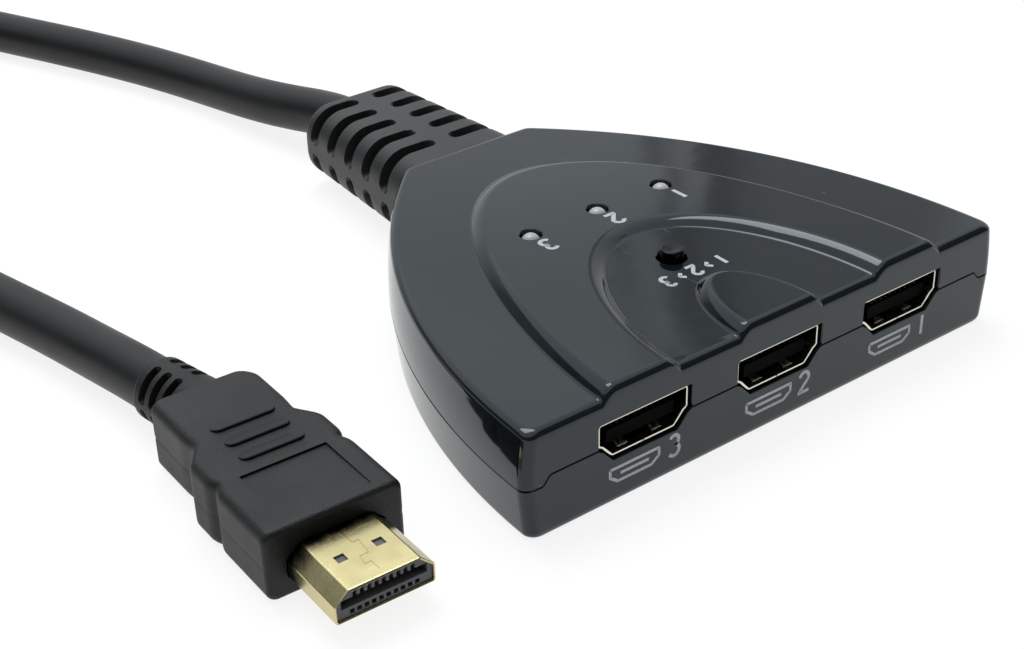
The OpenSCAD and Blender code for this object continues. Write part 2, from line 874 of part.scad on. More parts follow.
// A tube through the points, with its end rings square to the given directions
module tube(pts, d, n, first, last) {
    m = len(pts) - 1;
    rings = [
        for (i = [0 : m])
            let (
                t = i == 0 ? first : i == m ? last : pts[i + 1] - pts[i - 1],
                f = t / norm(t),
                u = cross(f, [0, 0, 1]),
                x = u / norm(u),
                y = cross(x, f)
            )
            for (k = [0 : n - 1]) pts[i] + d / 2 * (cos(360 * k / n) * x + sin(360 * k / n) * y)
    ];
    walls = [
        for (i = [0 : m - 1], k = [0 : n - 1])
            let (a = i * n + k, b = i * n + (k + 1) % n)
            each [[a, a + n, b], [b, a + n, b + n]]
    ];
    ends = concat(
        [for (k = [1 : n - 2]) [0, k, k + 1]],
        [for (k = [1 : n - 2]) [m * n, m * n + k + 1, m * n + k]]
    );
    polyhedron(rings, concat(walls, ends));
}

tail_y = grip_y + grip_l;
tail_aim = plug_turn + tail_turn;
tail_end = plug_pos + tail_y * [-sin(plug_turn), cos(plug_turn), 0]
    + tail_l * [-sin(tail_aim), cos(tail_aim), 0] + [0, 0, plug_z];
cord_start = [0, neck_y + boot_l, boot_z];
cord_points = along(concat([cord_start], cord_route, [tail_end]), cord_steps);

module cord() {
    color([0.1, 0.1, 0.11])
        tube(cord_points, cord_d, cord_sides, [0, 1, 0], [sin(tail_aim), -cos(tail_aim), 0]);
}

module at_plug() {
    translate(plug_pos) rotate(plug_turn) translate([0, 0, plug_z]) children();
}

// The tail leaves the grip's rear and bends towards the cord
module at_tail() {
    translate([0, tail_y, 0]) rotate(tail_turn) children();
}

// The plug's profile, narrow side up, about the plug's axis
module plug_outline(in) {
    mirror([0, 1]) translate([0, plug_h / 2])
        polygon(shell_profile(plug_w, plug_narrow, plug_h, plug_side, in));
}

// Smooth step from 0 at a to 1 at b
function ease(y, a, b) = let (u = min(max((y - a) / (b - a), 0), 1)) u * u * (3 - 2 * u);

// Half width of the grip at y: a shallow dip, then the narrower rear part and
// its rounded shoulders
function grip_half(y) =
    grip_w / 2
    - dip_in * (ease(y, dip_y - dip_l / 2, dip_y) - ease(y, dip_y, dip_y + dip_l / 2))
    - (grip_w - grip_rear_w) / 2 * ease(y, taper_y - taper_l, taper_y)
    - shoulder_in * pow(ease(y, grip_l - shoulder_l, grip_l), 2);

// Grip with rounded long edges, and its slotted tail
module plug_grip() {
    half = [for (k = [0 : grip_n]) let (y = grip_l * k / grip_n) [grip_half(y), grip_y + y]];
    color([0.1, 0.1, 0.11]) at_plug() difference() {
        union() {
            intersection() {
                translate([0, 0, -grip_h]) linear_extrude(2 * grip_h) polygon(concat(half, mirrored(half)));
                run_y(grip_y - past, grip_l + 2 * past) polygon(round_rect(grip_w, grip_h, grip_r));
            }
            at_tail() rotate([-90, 0, 0]) rotate_extrude()
                polygon([[0, -tail_root], [tail_d1 / 2, -tail_root], [tail_d1 / 2, 0],
                         [tail_d2 / 2, tail_l], [0, tail_l]]);
        }
        run_y(grip_y - past, plug_in + past) plug_outline(-leaf);
        translate([-mould_w / 2, grip_y + plug_in - leaf, -mould_h / 2])
            cube([mould_w, mould_l + leaf, mould_h]);
        at_tail() difference() {
            for (k = [0 : tail_rows - 1])
                translate([0, tail_start + k * tail_pitch, 0]) rotate([-90, 0, 0])
                    difference() {
                        cylinder(d = tail_d1 + 2 * past, h = tail_slot);
                        translate([0, 0, -past])
                            cylinder(d = tail_d2 - 2 * tail_deep, h = tail_slot + 2 * past);
                    }
            for (a = [0, 90]) rotate([0, a, 0]) translate([-tail_spine / 2, 0, -tail_d1])
                cube([tail_spine, 2 * tail_l, 2 * tail_d1]);
        }
    }
}

// Hard inner moulding behind the shell
module plug_core() {
    color([0.85, 0.85, 0.82]) at_plug()
        translate([-mould_w / 2, grip_y + plug_in, -mould_h / 2]) cube([mould_w, mould_l, mould_h]);
}

module plug_shell() {
    color([0.85, 0.75, 0.45]) at_plug() difference() {
        run_y(0, plug_out + plug_in) plug_outline(0);
        run_y(-past, plug_out + plug_in + 2 * past) plug_outline(plug_shell_t);
        for (s = sides) translate([s * window_x - window_w / 2, window_y - window_w / 2, plug_h / 2 - past])
            cube([window_w, window_w, 2 * past]);
    }
}

// Slits for the contacts above and below the plug's mouth
module plug_slits(w, h0, h1) {
    for (k = [0 : upper_n - 1])
        translate([(k - (upper_n - 1) / 2) * contact_pitch - w / 2, face_set, -mouth_h / 2 - h1])
            cube([w, mouth_d, h1 - h0]);
    for (k = [0 : lower_n - 1])
        translate([(k - (lower_n - 1) / 2) * contact_pitch - w / 2, face_set, mouth_h / 2 + h0])
            cube([w, mouth_d, h1 - h0]);
}

module plug_insulator() {
    color([0.3, 0.3, 0.32]) at_plug() difference() {
        run_y(face_set, plug_out + plug_in - face_set) plug_outline(plug_shell_t + leaf);
        translate([-mouth_w / 2, face_set - past, -mouth_h / 2]) cube([mouth_w, mouth_d + past, mouth_h]);
        translate([0, -leaf, 0]) plug_slits(slit_w, -leaf, slit_h);
    }
}

module plug_contacts() {
    color([0.85, 0.72, 0.35]) at_plug() plug_slits(contact_w, slit_h - plug_contact_t, slit_h);
}

top_cover();
bottom_case();
case_screws();
circuit_board();
socket_shell(1);  // socket_shell_1
socket_shell(2);  // socket_shell_2
socket_shell(3);  // socket_shell_3
socket_tongue(1);  // socket_tongue_1
socket_tongue(2);  // socket_tongue_2
socket_tongue(3);  // socket_tongue_3
socket_contacts(1);  // socket_contacts_1
socket_contacts(2);  // socket_contacts_2
socket_contacts(3);  // socket_contacts_3
lamp_lens(1);  // lamp_lens_1
lamp_lens(2);  // lamp_lens_2
lamp_lens(3);  // lamp_lens_3
lamp_leads();
switch_base();
switch_frame();
switch_pins();
snap_dome();
select_button();
switching_chip();
chip_leads();
capacitors();
resistors();
lead_wires();
boot();
cord();
plug_grip();
plug_core();
plug_shell();
plug_insulator();
plug_contacts();
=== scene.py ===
import json
import math
import bmesh
import bpy
import numpy as np
from mathutils import Matrix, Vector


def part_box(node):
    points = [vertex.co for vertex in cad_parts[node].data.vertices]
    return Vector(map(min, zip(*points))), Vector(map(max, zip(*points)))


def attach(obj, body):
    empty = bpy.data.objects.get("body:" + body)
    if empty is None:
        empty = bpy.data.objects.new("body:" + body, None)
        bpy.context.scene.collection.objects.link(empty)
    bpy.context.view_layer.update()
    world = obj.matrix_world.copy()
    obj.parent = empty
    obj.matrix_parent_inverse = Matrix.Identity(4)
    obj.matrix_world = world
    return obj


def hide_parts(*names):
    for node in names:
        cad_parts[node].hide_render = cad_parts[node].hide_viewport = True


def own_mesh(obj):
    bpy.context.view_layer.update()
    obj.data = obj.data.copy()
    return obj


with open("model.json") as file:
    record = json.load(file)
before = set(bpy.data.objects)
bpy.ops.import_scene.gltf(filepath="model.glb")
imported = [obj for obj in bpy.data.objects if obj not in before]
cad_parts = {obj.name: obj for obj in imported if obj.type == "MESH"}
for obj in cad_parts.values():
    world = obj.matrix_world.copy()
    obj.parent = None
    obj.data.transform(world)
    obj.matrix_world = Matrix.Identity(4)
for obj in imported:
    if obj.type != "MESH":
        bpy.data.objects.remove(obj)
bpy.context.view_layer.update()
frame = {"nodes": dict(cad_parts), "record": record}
nodes = frame["nodes"]
mounts = {m["name"]: m for m in frame["record"]["mounts"]}
mm = 0.001
scene = bpy.context.scene
scene.view_settings.view_transform = "Standard"
print("frame loaded:", len(nodes), "nodes")


# camera at the photo's angle: azimuth to the right of +Y, then down, then a slight roll
photoView = dict(
    place=(-0.1487, -0.1752, 0.1370), azimuth=36.64, down=30.93, roll=-1.63,
    lens=61.86, sensor=36.0, clip=(0.01, 20.0),
)


def makeCamera(v):
    # ahead = (sin az cos el, cos az cos el, -sin el); level and upward then turn by the roll
    az = math.radians(v["azimuth"])
    el = math.radians(v["down"])
    roll = math.radians(v["roll"])
    ahead = np.array([math.sin(az) * math.cos(el), math.cos(az) * math.cos(el), -math.sin(el)])
    level = np.cross(ahead, [0, 0, 1])
    level /= np.linalg.norm(level)
    upward = np.cross(level, ahead)
    right = math.cos(roll) * level + math.sin(roll) * upward
    upward = np.cross(right, ahead)
    data = bpy.data.cameras.new("photoCamera")
    data.lens = v["lens"]
    data.sensor_width = v["sensor"]
    data.clip_start, data.clip_end = v["clip"]
    cam = bpy.data.objects.new("photoCamera", data)
    turn = Matrix(np.column_stack([right, upward, -ahead]).tolist()).to_4x4()
    cam.matrix_world = Matrix.Translation(v["place"]) @ turn
    scene.collection.objects.link(cam)
    scene.camera = cam


makeCamera(photoView)


# mesh helpers, all in millimetres until a piece is made
def corners(node):
    # lowest and highest corner of a node's box in millimetres
    low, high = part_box(node)
    return np.array(low) / mm, np.array(high) / mm


def ease(x, a, b):
    # smooth step from 0 at a to 1 at b
    t = np.clip((np.asarray(x, float) - a) / (b - a), 0, 1)
    return t * t * (3 - 2 * t)


def arc(centre, radius, a0, a1, count):
    # points of an arc between two angles in degrees
    a = np.radians(np.linspace(a0, a1, count))
    return np.asarray(centre, float) + radius * np.stack([np.cos(a), np.sin(a)], -1)


def placedAlong(curve, share):
    # points at given shares of a polyline's length
    step = np.linalg.norm(np.diff(curve, axis=0), axis=1)
    run = np.concatenate([[0], np.cumsum(step)]) / step.sum()
    return np.stack([np.interp(share, run, curve[:, k]) for k in range(curve.shape[1])], -1)


def gridFaces(rows, cols, ring=False, loop=False):
    # quads of a grid of points; ring joins the last column to the first, loop the last row
    down = np.arange(rows if loop else rows - 1)
    across = np.arange(cols if ring else cols - 1)
    r, c = np.meshgrid(down, across, indexing="ij")
    r2 = (r + 1) % rows
    c2 = (c + 1) % cols
    quads = np.stack([r * cols + c, r * cols + c2, r2 * cols + c2, r2 * cols + c], -1)
    return quads.reshape(-1, 4).tolist()


def gridPart(points, ring=False, loop=False, caps=False):
    # a grid of points as one part; caps closes its first and last row with one face each
    rows, cols = points.shape[:2]
    faces = gridFaces(rows, cols, ring, loop)
    if caps:
        faces.append(list(range(cols)))
        faces.append(list(range((rows - 1) * cols, rows * cols)))
    return points.reshape(-1, 3), faces


def fanPart(ring, centre):
    # triangles from each side of a closed ring to one point
    n = len(ring)
    k = np.arange(n)
    faces = np.stack([k, (k + 1) % n, np.full(n, n)], -1).tolist()
    return np.vstack([ring, [centre]]), faces


def mirrored(part):
    # the part's image in the X = 0 plane
    points, faces = part
    return points * np.array([-1, 1, 1]), faces


def makePiece(name, parts, merge=0.003):
    # joins parts into one mesh in metres, welds what coincides and turns the faces outwards
    points = np.vstack([p for p, f in parts]) * mm
    starts = np.cumsum([0] + [len(p) for p, f in parts])
    faces = [[i + s for i in face] for s, (p, f) in zip(starts, parts) for face in f]
    mesh = bpy.data.meshes.new(name)
    mesh.from_pydata(points.tolist(), [], faces)
    work = bmesh.new()
    work.from_mesh(mesh)
    bmesh.ops.remove_doubles(work, verts=work.verts, dist=merge * mm)
    bmesh.ops.dissolve_degenerate(work, edges=work.edges, dist=merge * mm / 10)
    bmesh.ops.recalc_face_normals(work, faces=work.faces)
    work.to_mesh(mesh)
    work.free()
    piece = bpy.data.objects.new(name, mesh)
    scene.collection.objects.link(piece)
    return piece


def carve(piece, cutters, operation="DIFFERENCE"):
    # applies closed cutters to a closed piece and deletes them
    for cutter in cutters:
        cut = piece.modifiers.new("cut", "BOOLEAN")
        cut.object = cutter
        cut.operation = operation
        cut.solver = "MANIFOLD"
    seen = piece.evaluated_get(bpy.context.evaluated_depsgraph_get())
    mesh = bpy.data.meshes.new_from_object(seen)
    piece.modifiers.clear()
    piece.data = mesh
    for cutter in cutters:
        bpy.data.objects.remove(cutter)


def smooth(piece, angle=32, flat=True):
    # smooth shading with sharp edges past the angle; flat keeps broad faces level
    piece.data.polygons.foreach_set("use_smooth", np.ones(len(piece.data.polygons), bool))
    piece.data.set_sharp_from_angle(angle=math.radians(angle))
    if flat:
        level = piece.modifiers.new("level", "WEIGHTED_NORMAL")
        level.keep_sharp = True


def prism(name, outline, y0, y1):
    # an outline in X and Z drawn along Y
    ends = [np.column_stack([outline[:, 0], np.full(len(outline), y), outline[:, 1]]) for y in (y0, y1)]
    return makePiece(name, [gridPart(np.stack(ends), ring=True, caps=True)])


def turned(profile, centre, count=48):
    # a profile of radius and height, turned about a vertical axis; its ends lie on the axis
    a = np.linspace(0, 2 * np.pi, count, endpoint=False)
    r = profile[:, :1]
    x = centre[0] + r * np.cos(a)
    y = centre[1] + r * np.sin(a)
    z = np.repeat(profile[:, 1:], count, axis=1)
    return gridPart(np.stack([x, y, z], -1), ring=True)


def rounded(points, radii, count=5):
    # a closed outline with its corners rounded by arcs of the given radii
    p = np.asarray(points, float)
    back = np.roll(p, 1, 0) - p
    fore = np.roll(p, -1, 0) - p
    back /= np.linalg.norm(back, axis=1)[:, None]
    fore /= np.linalg.norm(fore, axis=1)[:, None]
    half = np.arccos(np.clip((back * fore).sum(1), -1, 1)) / 2
    radii = np.broadcast_to(np.asarray(radii, float), half.shape)
    reach = (radii / np.tan(half))[:, None]
    mid = back + fore
    mid /= np.linalg.norm(mid, axis=1)[:, None]
    centre = p + mid * (radii / np.sin(half))[:, None]
    t = np.linspace(0, 1, count)[None, :, None]
    chord = (p + back * reach)[:, None] * (1 - t) + (p + fore * reach)[:, None] * t
    out = chord - centre[:, None]
    out *= radii[:, None, None] / np.linalg.norm(out, axis=2, keepdims=True)
    return (centre[:, None] + out).reshape(-1, 2)


def inset(points, by):
    # a closed outline, anticlockwise, with every side moved in by the same distance
    p = np.asarray(points, float)
    d = np.roll(p, -1, 0) - p
    d /= np.linalg.norm(d, axis=1)[:, None]
    n = np.stack([-d[:, 1], d[:, 0]], -1)
    q = p + n * by
    d0 = np.roll(d, 1, 0)
    q0 = np.roll(q, 1, 0)
    cross = d0[:, 0] * d[:, 1] - d0[:, 1] * d[:, 0]
    gap = q - q0
    t = (gap[:, 0] * d[:, 1] - gap[:, 1] * d[:, 0]) / cross
    return q0 + d0 * t[:, None]


# material helpers
def wire(tree, pairs):
    # joins each pair of sockets, an output to an input
    for a, b in pairs:
        tree.links.new(a, b)


def addNode(tree, kind, **values):
    # a node with its plain properties or input sockets set by name
    node = tree.nodes.new(kind)
    for key, value in values.items():
        if key in node.bl_rna.properties:
            setattr(node, key, value)
        else:
            node.inputs[key.replace("_", " ")].default_value = value
    return node


def newGroup(name, inputs, outputs):
    # an empty node group: number inputs with their first values, and number outputs
    group = bpy.data.node_groups.new(name, "ShaderNodeTree")
    for label, value in inputs.items():
        socket = group.interface.new_socket(label, in_out="INPUT", socket_type="NodeSocketFloat")
        socket.default_value = value
    for label in outputs:
        group.interface.new_socket(label, in_out="OUTPUT", socket_type="NodeSocketFloat")
    return group, group.nodes.new("NodeGroupInput"), group.nodes.new("NodeGroupOutput")


def makeMouldGrain():
    # fine pits of a moulded skin, and a slow drift of its tone
    g, given, put = newGroup("mouldGrain", dict(Pits=3000.0, Drift=60.0), ("Height", "Tone"))
    place = addNode(g, "ShaderNodeTexCoord")
    pits = addNode(g, "ShaderNodeTexNoise", Detail=3.0, Roughness=0.55)
    drift = addNode(g, "ShaderNodeTexNoise", Detail=4.0, Roughness=0.6)
    wire(g, [
        (place.outputs["Object"], pits.inputs["Vector"]),
        (place.outputs["Object"], drift.inputs["Vector"]),
        (given.outputs["Pits"], pits.inputs["Scale"]),
        (given.outputs["Drift"], drift.inputs["Scale"]),
        (pits.outputs["Fac"], put.inputs["Height"]),
        (drift.outputs["Fac"], put.inputs["Tone"]),
    ])
    return g


def makeDust():
    # sparse pale specks: cells whose random shade is high, cut to small round dots
    g, given, put = newGroup("dustSpecks", dict(Scale=700.0, Size=0.1, Share=0.99), ("Mask",))
    place = addNode(g, "ShaderNodeTexCoord")
    cells = addNode(g, "ShaderNodeTexVoronoi")
    split = addNode(g, "ShaderNodeSeparateColor")
    near = addNode(g, "ShaderNodeMath", operation="LESS_THAN")
    rare = addNode(g, "ShaderNodeMath", operation="GREATER_THAN")
    both = addNode(g, "ShaderNodeMath", operation="MULTIPLY")
    wire(g, [
        (place.outputs["Object"], cells.inputs["Vector"]),
        (given.outputs["Scale"], cells.inputs["Scale"]),
        (cells.outputs["Distance"], near.inputs[0]),
        (given.outputs["Size"], near.inputs[1]),
        (cells.outputs["Color"], split.inputs["Color"]),
        (split.outputs["Red"], rare.inputs[0]),
        (given.outputs["Share"], rare.inputs[1]),
        (near.outputs["Value"], both.inputs[0]),
        (rare.outputs["Value"], both.inputs[1]),
        (both.outputs["Value"], put.inputs["Mask"]),
    ])
    return g


mouldGrain = makeMouldGrain()
dustSpecks = makeDust()


def newFinish(name, look):
    # a moulded or plated finish: tone drift in colour and roughness, fine pits, a little dust
    mat = bpy.data.materials.new(name)
    mat.use_nodes = True
    tree = mat.node_tree
    skin = tree.nodes["Principled BSDF"]
    skin.inputs["Metallic"].default_value = look.get("metal", 0.0)
    skin.inputs["Specular IOR Level"].default_value = look.get("shine", 0.5)
    skin.inputs["Specular Tint"].default_value = (*look.get("tint", (1.0, 1.0, 1.0)), 1)
    grain = addNode(tree, "ShaderNodeGroup", node_tree=mouldGrain,
                    Pits=look.get("pits", 3000.0), Drift=look.get("drift", 60.0))
    tone = addNode(tree, "ShaderNodeMix", data_type="RGBA")
    tone.inputs[6].default_value = (*look["dark"], 1)
    tone.inputs[7].default_value = (*look["light"], 1)
    smoothest, roughest = look["rough"]
    rough = addNode(tree, "ShaderNodeMapRange", From_Min=0.3, From_Max=0.7, To_Min=smoothest, To_Max=roughest)
    bump = addNode(tree, "ShaderNodeBump", Strength=look.get("bump", 0.1), Distance=0.0002)
    dust = addNode(tree, "ShaderNodeGroup", node_tree=dustSpecks, Share=look.get("dust", 0.995))
    specks = addNode(tree, "ShaderNodeMix", data_type="RGBA")
    specks.inputs[7].default_value = (*look.get("speck", (0.12, 0.12, 0.12)), 1)
    wire(tree, [
        (grain.outputs["Tone"], tone.inputs[0]),
        (grain.outputs["Tone"], rough.inputs["Value"]),
        (grain.outputs["Height"], bump.inputs["Height"]),
        (dust.outputs["Mask"], specks.inputs[0]),
        (tone.outputs[2], specks.inputs[6]),
        (specks.outputs[2], skin.inputs["Base Color"]),
        (rough.outputs["Result"], skin.inputs["Roughness"]),
        (bump.outputs["Normal"], skin.inputs["Normal"]),
    ])
    return mat


looks = dict(
    case=dict(dark=(0.004, 0.0064, 0.0078), light=(0.0065, 0.0094, 0.011), rough=(0.05, 0.08), bump=0.3,
              pits=55.0, drift=45.0, dust=0.997, tint=(0.84, 0.94, 1.0)),
    soft=dict(dark=(0.013, 0.0134, 0.014), light=(0.019, 0.0196, 0.0204), rough=(0.4, 0.52), bump=0.16,
              pits=5200.0, drift=90.0, shine=0.48),
    grip=dict(dark=(0.005, 0.0053, 0.0057), light=(0.008, 0.0083, 0.009), rough=(0.42, 0.55), bump=0.45,
              pits=4200.0, drift=90.0, shine=0.34),
    jacket=dict(dark=(0.009, 0.0092, 0.0096), light=(0.013, 0.0134, 0.014), rough=(0.36, 0.46), bump=0.07,
                pits=3600.0, drift=70.0, shine=0.3),
    button=dict(dark=(0.002, 0.002, 0.0022), light=(0.004, 0.004, 0.0042), rough=(0.14, 0.2), bump=0.02,
                dust=0.999, shine=0.2),
    resin=dict(dark=(0.38, 0.39, 0.39), light=(0.5, 0.51, 0.51), rough=(0.1, 0.2), bump=0.03, pits=1500.0),
    nickel=dict(dark=(0.66, 0.65, 0.55), light=(0.84, 0.83, 0.72), rough=(0.14, 0.26), metal=1.0,
                bump=0.05),
    insulator=dict(dark=(0.006, 0.006, 0.0065), light=(0.012, 0.012, 0.013), rough=(0.4, 0.55), bump=0.1),
    tongue=dict(dark=(0.0008, 0.0008, 0.0009), light=(0.0016, 0.0016, 0.0017), rough=(0.5, 0.65), bump=0.1,
                shine=0.03),
    insert=dict(dark=(0.08, 0.08, 0.085), light=(0.12, 0.12, 0.127), rough=(0.4, 0.55), bump=0.12),
    contact=dict(dark=(0.72, 0.5, 0.2), light=(0.86, 0.66, 0.3), rough=(0.2, 0.34), metal=1.0, bump=0.05),
    inner=dict(dark=(0.5, 0.49, 0.44), light=(0.62, 0.61, 0.56), rough=(0.45, 0.6), bump=0.15),
    steel=dict(dark=(0.45, 0.46, 0.47), light=(0.62, 0.63, 0.64), rough=(0.24, 0.4), metal=1.0, bump=0.08),
    tin=dict(dark=(0.52, 0.52, 0.53), light=(0.68, 0.68, 0.69), rough=(0.3, 0.45), metal=1.0, bump=0.1),
    board=dict(dark=(0.015, 0.09, 0.04), light=(0.03, 0.16, 0.07), rough=(0.25, 0.4), bump=0.1,
               drift=700.0),
    ceramic=dict(dark=(0.3, 0.2, 0.11), light=(0.42, 0.29, 0.17), rough=(0.35, 0.5), bump=0.1),
    wires=dict(dark=(0.5, 0.17, 0.03), light=(0.68, 0.28, 0.06), rough=(0.35, 0.5), bump=0.08),
    lampPrint=dict(dark=(0.42, 0.445, 0.48), light=(0.5, 0.525, 0.56), rough=(0.45, 0.6), bump=0.15),
    portPrint=dict(dark=(0.58, 0.61, 0.65), light=(0.66, 0.69, 0.73), rough=(0.45, 0.6), bump=0.15),
)
finishes = {key: newFinish(key + "Finish", look) for key, look in looks.items()}


def dress(piece, finish, slot, body, *replaced):
    # gives a made piece its finish, the body it rides on and the nodes it stands for; the record slot is not
    # used
    piece.data.materials.clear()
    piece.data.materials.append(finish)
    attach(piece, body)
    if replaced:
        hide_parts(*replaced)
    return piece


print("finishes made:", len(finishes))


# cord: the same route as the solid's, in millimetres
cordRoute = dict(
    diameter=8.2, sides=28, steps=8, length=0.394,
    points=[
        (-0.1, 74.5, 7.9), (-0.9, 80, 7.3), (-2.2, 86, 6.5), (-3.7, 93, 5.7), (-5, 101, 4.9),
        (-6.5, 110, 4.3),
        (-8.8, 119, 4.2), (-12.3, 130, 4.2), (-17.2, 143, 4.2), (-23.5, 158, 4.2), (-30.5, 174, 4.2),
        (-38.2, 190, 4.2), (-47.3, 202.6, 4.2), (-60.3, 210.8, 4.2), (-75.6, 212.9, 4.2),
        (-90.4, 208.7, 4.2),
        (-102.2, 198.8, 4.2), (-108.9, 184.9, 4.2), (-109.4, 169.6, 4.2), (-106, 154.5, 4.2),
        (-100.5, 139.5, 4.2),
        (-94.8, 124.5, 4.2), (-89.3, 110, 4.2), (-84, 95, 4.2), (-79, 80, 4.2), (-74.5, 67, 4.2),
        (-71.6, 55, 4.2), (-69.1, 44, 4.2), (-67.3, 34, 4.4), (-66.2, 26.5, 4.8),
    ],
)
bootLow, bootHigh = corners("boot")
plugFront = np.array(mounts["plug"]["pos_m"]) / mm
plugAlong = -np.array(mounts["plug"]["axis"])
plugAcross = np.array([plugAlong[1], -plugAlong[0], 0])
plugReach = dict(out=11.2, grip=35.0, tail=10.0, inside=4.0, tailTurn=10.5)
tailTurn = math.radians(plugReach["tailTurn"])
tailAlong = plugAlong * math.cos(tailTurn) - plugAcross * math.sin(tailTurn)
bootAxis = (bootLow[2] + bootHigh[2]) / 2


def bendThrough(points, steps):
    # smooth curve through points: each stretch is a cubic of its four nearest points
    p = np.vstack([points[:1], points, points[-1:]])
    a, b, c, d = p[:-3, None], p[1:-2, None], p[2:-1, None], p[3:, None]
    u = (np.arange(steps) / steps)[None, :, None]
    curve = 2 * b + (c - a) * u + (2 * a - 5 * b + 4 * c - d) * u ** 2 + (3 * b - a - 3 * c + d) * u ** 3
    return np.vstack([0.5 * curve.reshape(-1, 3), points[-1:]])


def makeCord(v):
    # a round profile carried along the route, with each ring square to it
    tailEnd = plugFront + plugAlong * (plugReach["out"] + plugReach["grip"]) + tailAlong * plugReach["tail"]
    start = np.array([0, bootHigh[1], bootAxis])
    line = bendThrough(np.vstack([start, v["points"], tailEnd]), v["steps"])
    ahead = np.gradient(line, axis=0)
    ahead[0] = (0, 1, 0)
    ahead[-1] = -tailAlong
    ahead /= np.linalg.norm(ahead, axis=1)[:, None]
    side = np.cross(ahead, [0, 0, 1])
    side /= np.linalg.norm(side, axis=1)[:, None]
    over = np.cross(side, ahead)
    a = np.linspace(0, 2 * np.pi, v["sides"], endpoint=False)[None, :, None]
    r = v["diameter"] / 2
    rings = line[:, None] + r * (np.cos(a) * side[:, None] + np.sin(a) * over[:, None])
    piece = makePiece("cordJacket", [gridPart(rings, ring=True, caps=True)])
    smooth(piece, 40, flat=False)
    return dress(piece, finishes["jacket"], "cord_jacket", "housing", "cord"), line


cordPiece, cordLine = makeCord(cordRoute)
print("cord made")


# case: outline and heights shared by the two halves
coverLow, coverHigh = corners("top_cover")
case = dict(
    neckWidth=25.8, sideRadius=100.0, cornerRadius=1.6, neckRadius=2.0, wall=2.0, skin=1.8,
    lean=0.6, edge=1.15, rim=16.2, baseLean=0.6, baseEdge=1.2, lipStep=2.9, lipSlant=1.5,
    groove=0.16, seam=0.03, edgeSteps=9,
)
frontY = coverLow[1]
neckY = coverHigh[1]
halfWidth = coverHigh[0]
partZ = coverLow[2]
lipZ = corners("bottom_case")[1][2]


def sideCentre(v):
    # centre of the right side's arc, which runs from the front to the neck
    run = np.array([v["neckWidth"] / 2 - halfWidth, neckY - frontY])
    mid = np.array([(v["neckWidth"] / 2 + halfWidth) / 2, (neckY + frontY) / 2])
    far = math.sqrt(v["sideRadius"] ** 2 - (run @ run) / 4) / np.linalg.norm(run)
    return mid - far * np.array([run[1], -run[0]])


def halfOutline(v, side, front, neck):
    # right half of the case's outline moved in by three distances: corner arc, side arc, neck arc, neck
    c = sideCentre(v)
    r = v["sideRadius"] - side
    y0 = frontY + front + v["cornerRadius"]
    y1 = neckY - neck - v["neckRadius"]
    p0 = np.array([c[0] + math.sqrt((r - v["cornerRadius"]) ** 2 - (y0 - c[1]) ** 2), y0])
    p1 = np.array([c[0] + math.sqrt((r - v["neckRadius"]) ** 2 - (y1 - c[1]) ** 2), y1])
    a0 = math.degrees(math.atan2(p0[1] - c[1], p0[0] - c[0]))
    a1 = math.degrees(math.atan2(p1[1] - c[1], p1[0] - c[0]))
    neckEnd = np.column_stack([np.linspace(p1[0], 0, 6)[1:], np.full(5, neckY - neck)])
    return np.vstack([
        arc(p0, v["cornerRadius"], -90, a0, 8),
        arc(c, r, a0, a1, 44)[1:-1],
        arc(p1, v["neckRadius"], a1, 90, 8),
        neckEnd,
    ])


def partingZ(v, x):
    # height of the parting line on the front: a soft step near each side
    x1 = halfWidth - v["lipStep"]
    return lipZ - (lipZ - partZ) * ease(np.abs(x), x1 - v["lipSlant"], x1)


# top cover: three nested arches that are open at the front, each given by the middle of its soft step
arches = dict(
    tongue=dict(half=6.7, length=13.9, nose=1.8, bevel=2.3, side=2.2),
    sunk=dict(half=19.2, length=31.4, nose=1.8, bevel=3.0, side=2.8),
    raised=dict(half=30.2, length=57.8, nose=1.54, bevel=2.6, side=2.4),
    rise=1.6, riseFall=0.55, drop=1.5, dropFall=0.4, bevelRings=24, foot=0.22, wallRings=14,
)
openings = dict(
    lampHole=3.3, lampChamfer=0.15, lampShift=(0.2, 0.3), buttonHole=4.5, buttonChamfer=0.1,
    socketPlay=0.26, socketBend=0.5, neckHole=(7.1, 4.1),
)
posts = dict(
    frontX=36.0, front=13.5, rearX=15.0, rear=15.0, radius=2.7, foot=6.0,
    bore=1.35, boreFoot=5.0, boreTop=11.3,
)
lampNodes = ("lamp_lens_1", "lamp_lens_2", "lamp_lens_3")
lampPlaces = [(np.add(*corners(n)) / 2)[:2] + np.array(openings["lampShift"]) for n in lampNodes]
buttonPlace = (np.add(*corners("select_button")) / 2)[:2]
screwPlaces = np.array(
    [(s * posts["frontX"], frontY + posts["front"]) for s in (1, -1)]
    + [(s * posts["rearX"], neckY - posts["rear"]) for s in (1, -1)])


def plateauAt(y):
    # height of the raised arch: its rise falls with the fourth power of the way to its rear
    t = np.clip((y - frontY) / arches["raised"]["length"], 0, 1)
    return case["rim"] + arches["rise"] * (1 - arches["riseFall"] * t ** 4)


def sunkAt(y):
    # height of the sunk arch, whose drop fades with the square of the way to its rear
    t = np.clip((y - frontY) / arches["sunk"]["length"], 0, 1)
    return plateauAt(y) - arches["drop"] * (1 - arches["dropFall"] * t * t)


def fallen(t, foot):
    # share of a step passed at t: the slope grows evenly up to 1 - foot, then drops evenly to nothing
    return float(t * t / (1 - foot) if t < 1 - foot else 1 - (1 - t) ** 2 / foot)


def archHalf(half, length, nose, share):
    # right half of an arch: x = half sin a, y = length cos(a) ** (2 / nose), spaced as share says
    a = np.linspace(np.pi / 2, 0, 600)
    y = length * np.maximum(np.cos(a), 0) ** (2 / nose)
    curve = np.column_stack([half * np.sin(a), frontY + case["edge"] + y])
    return placedAlong(curve, share)


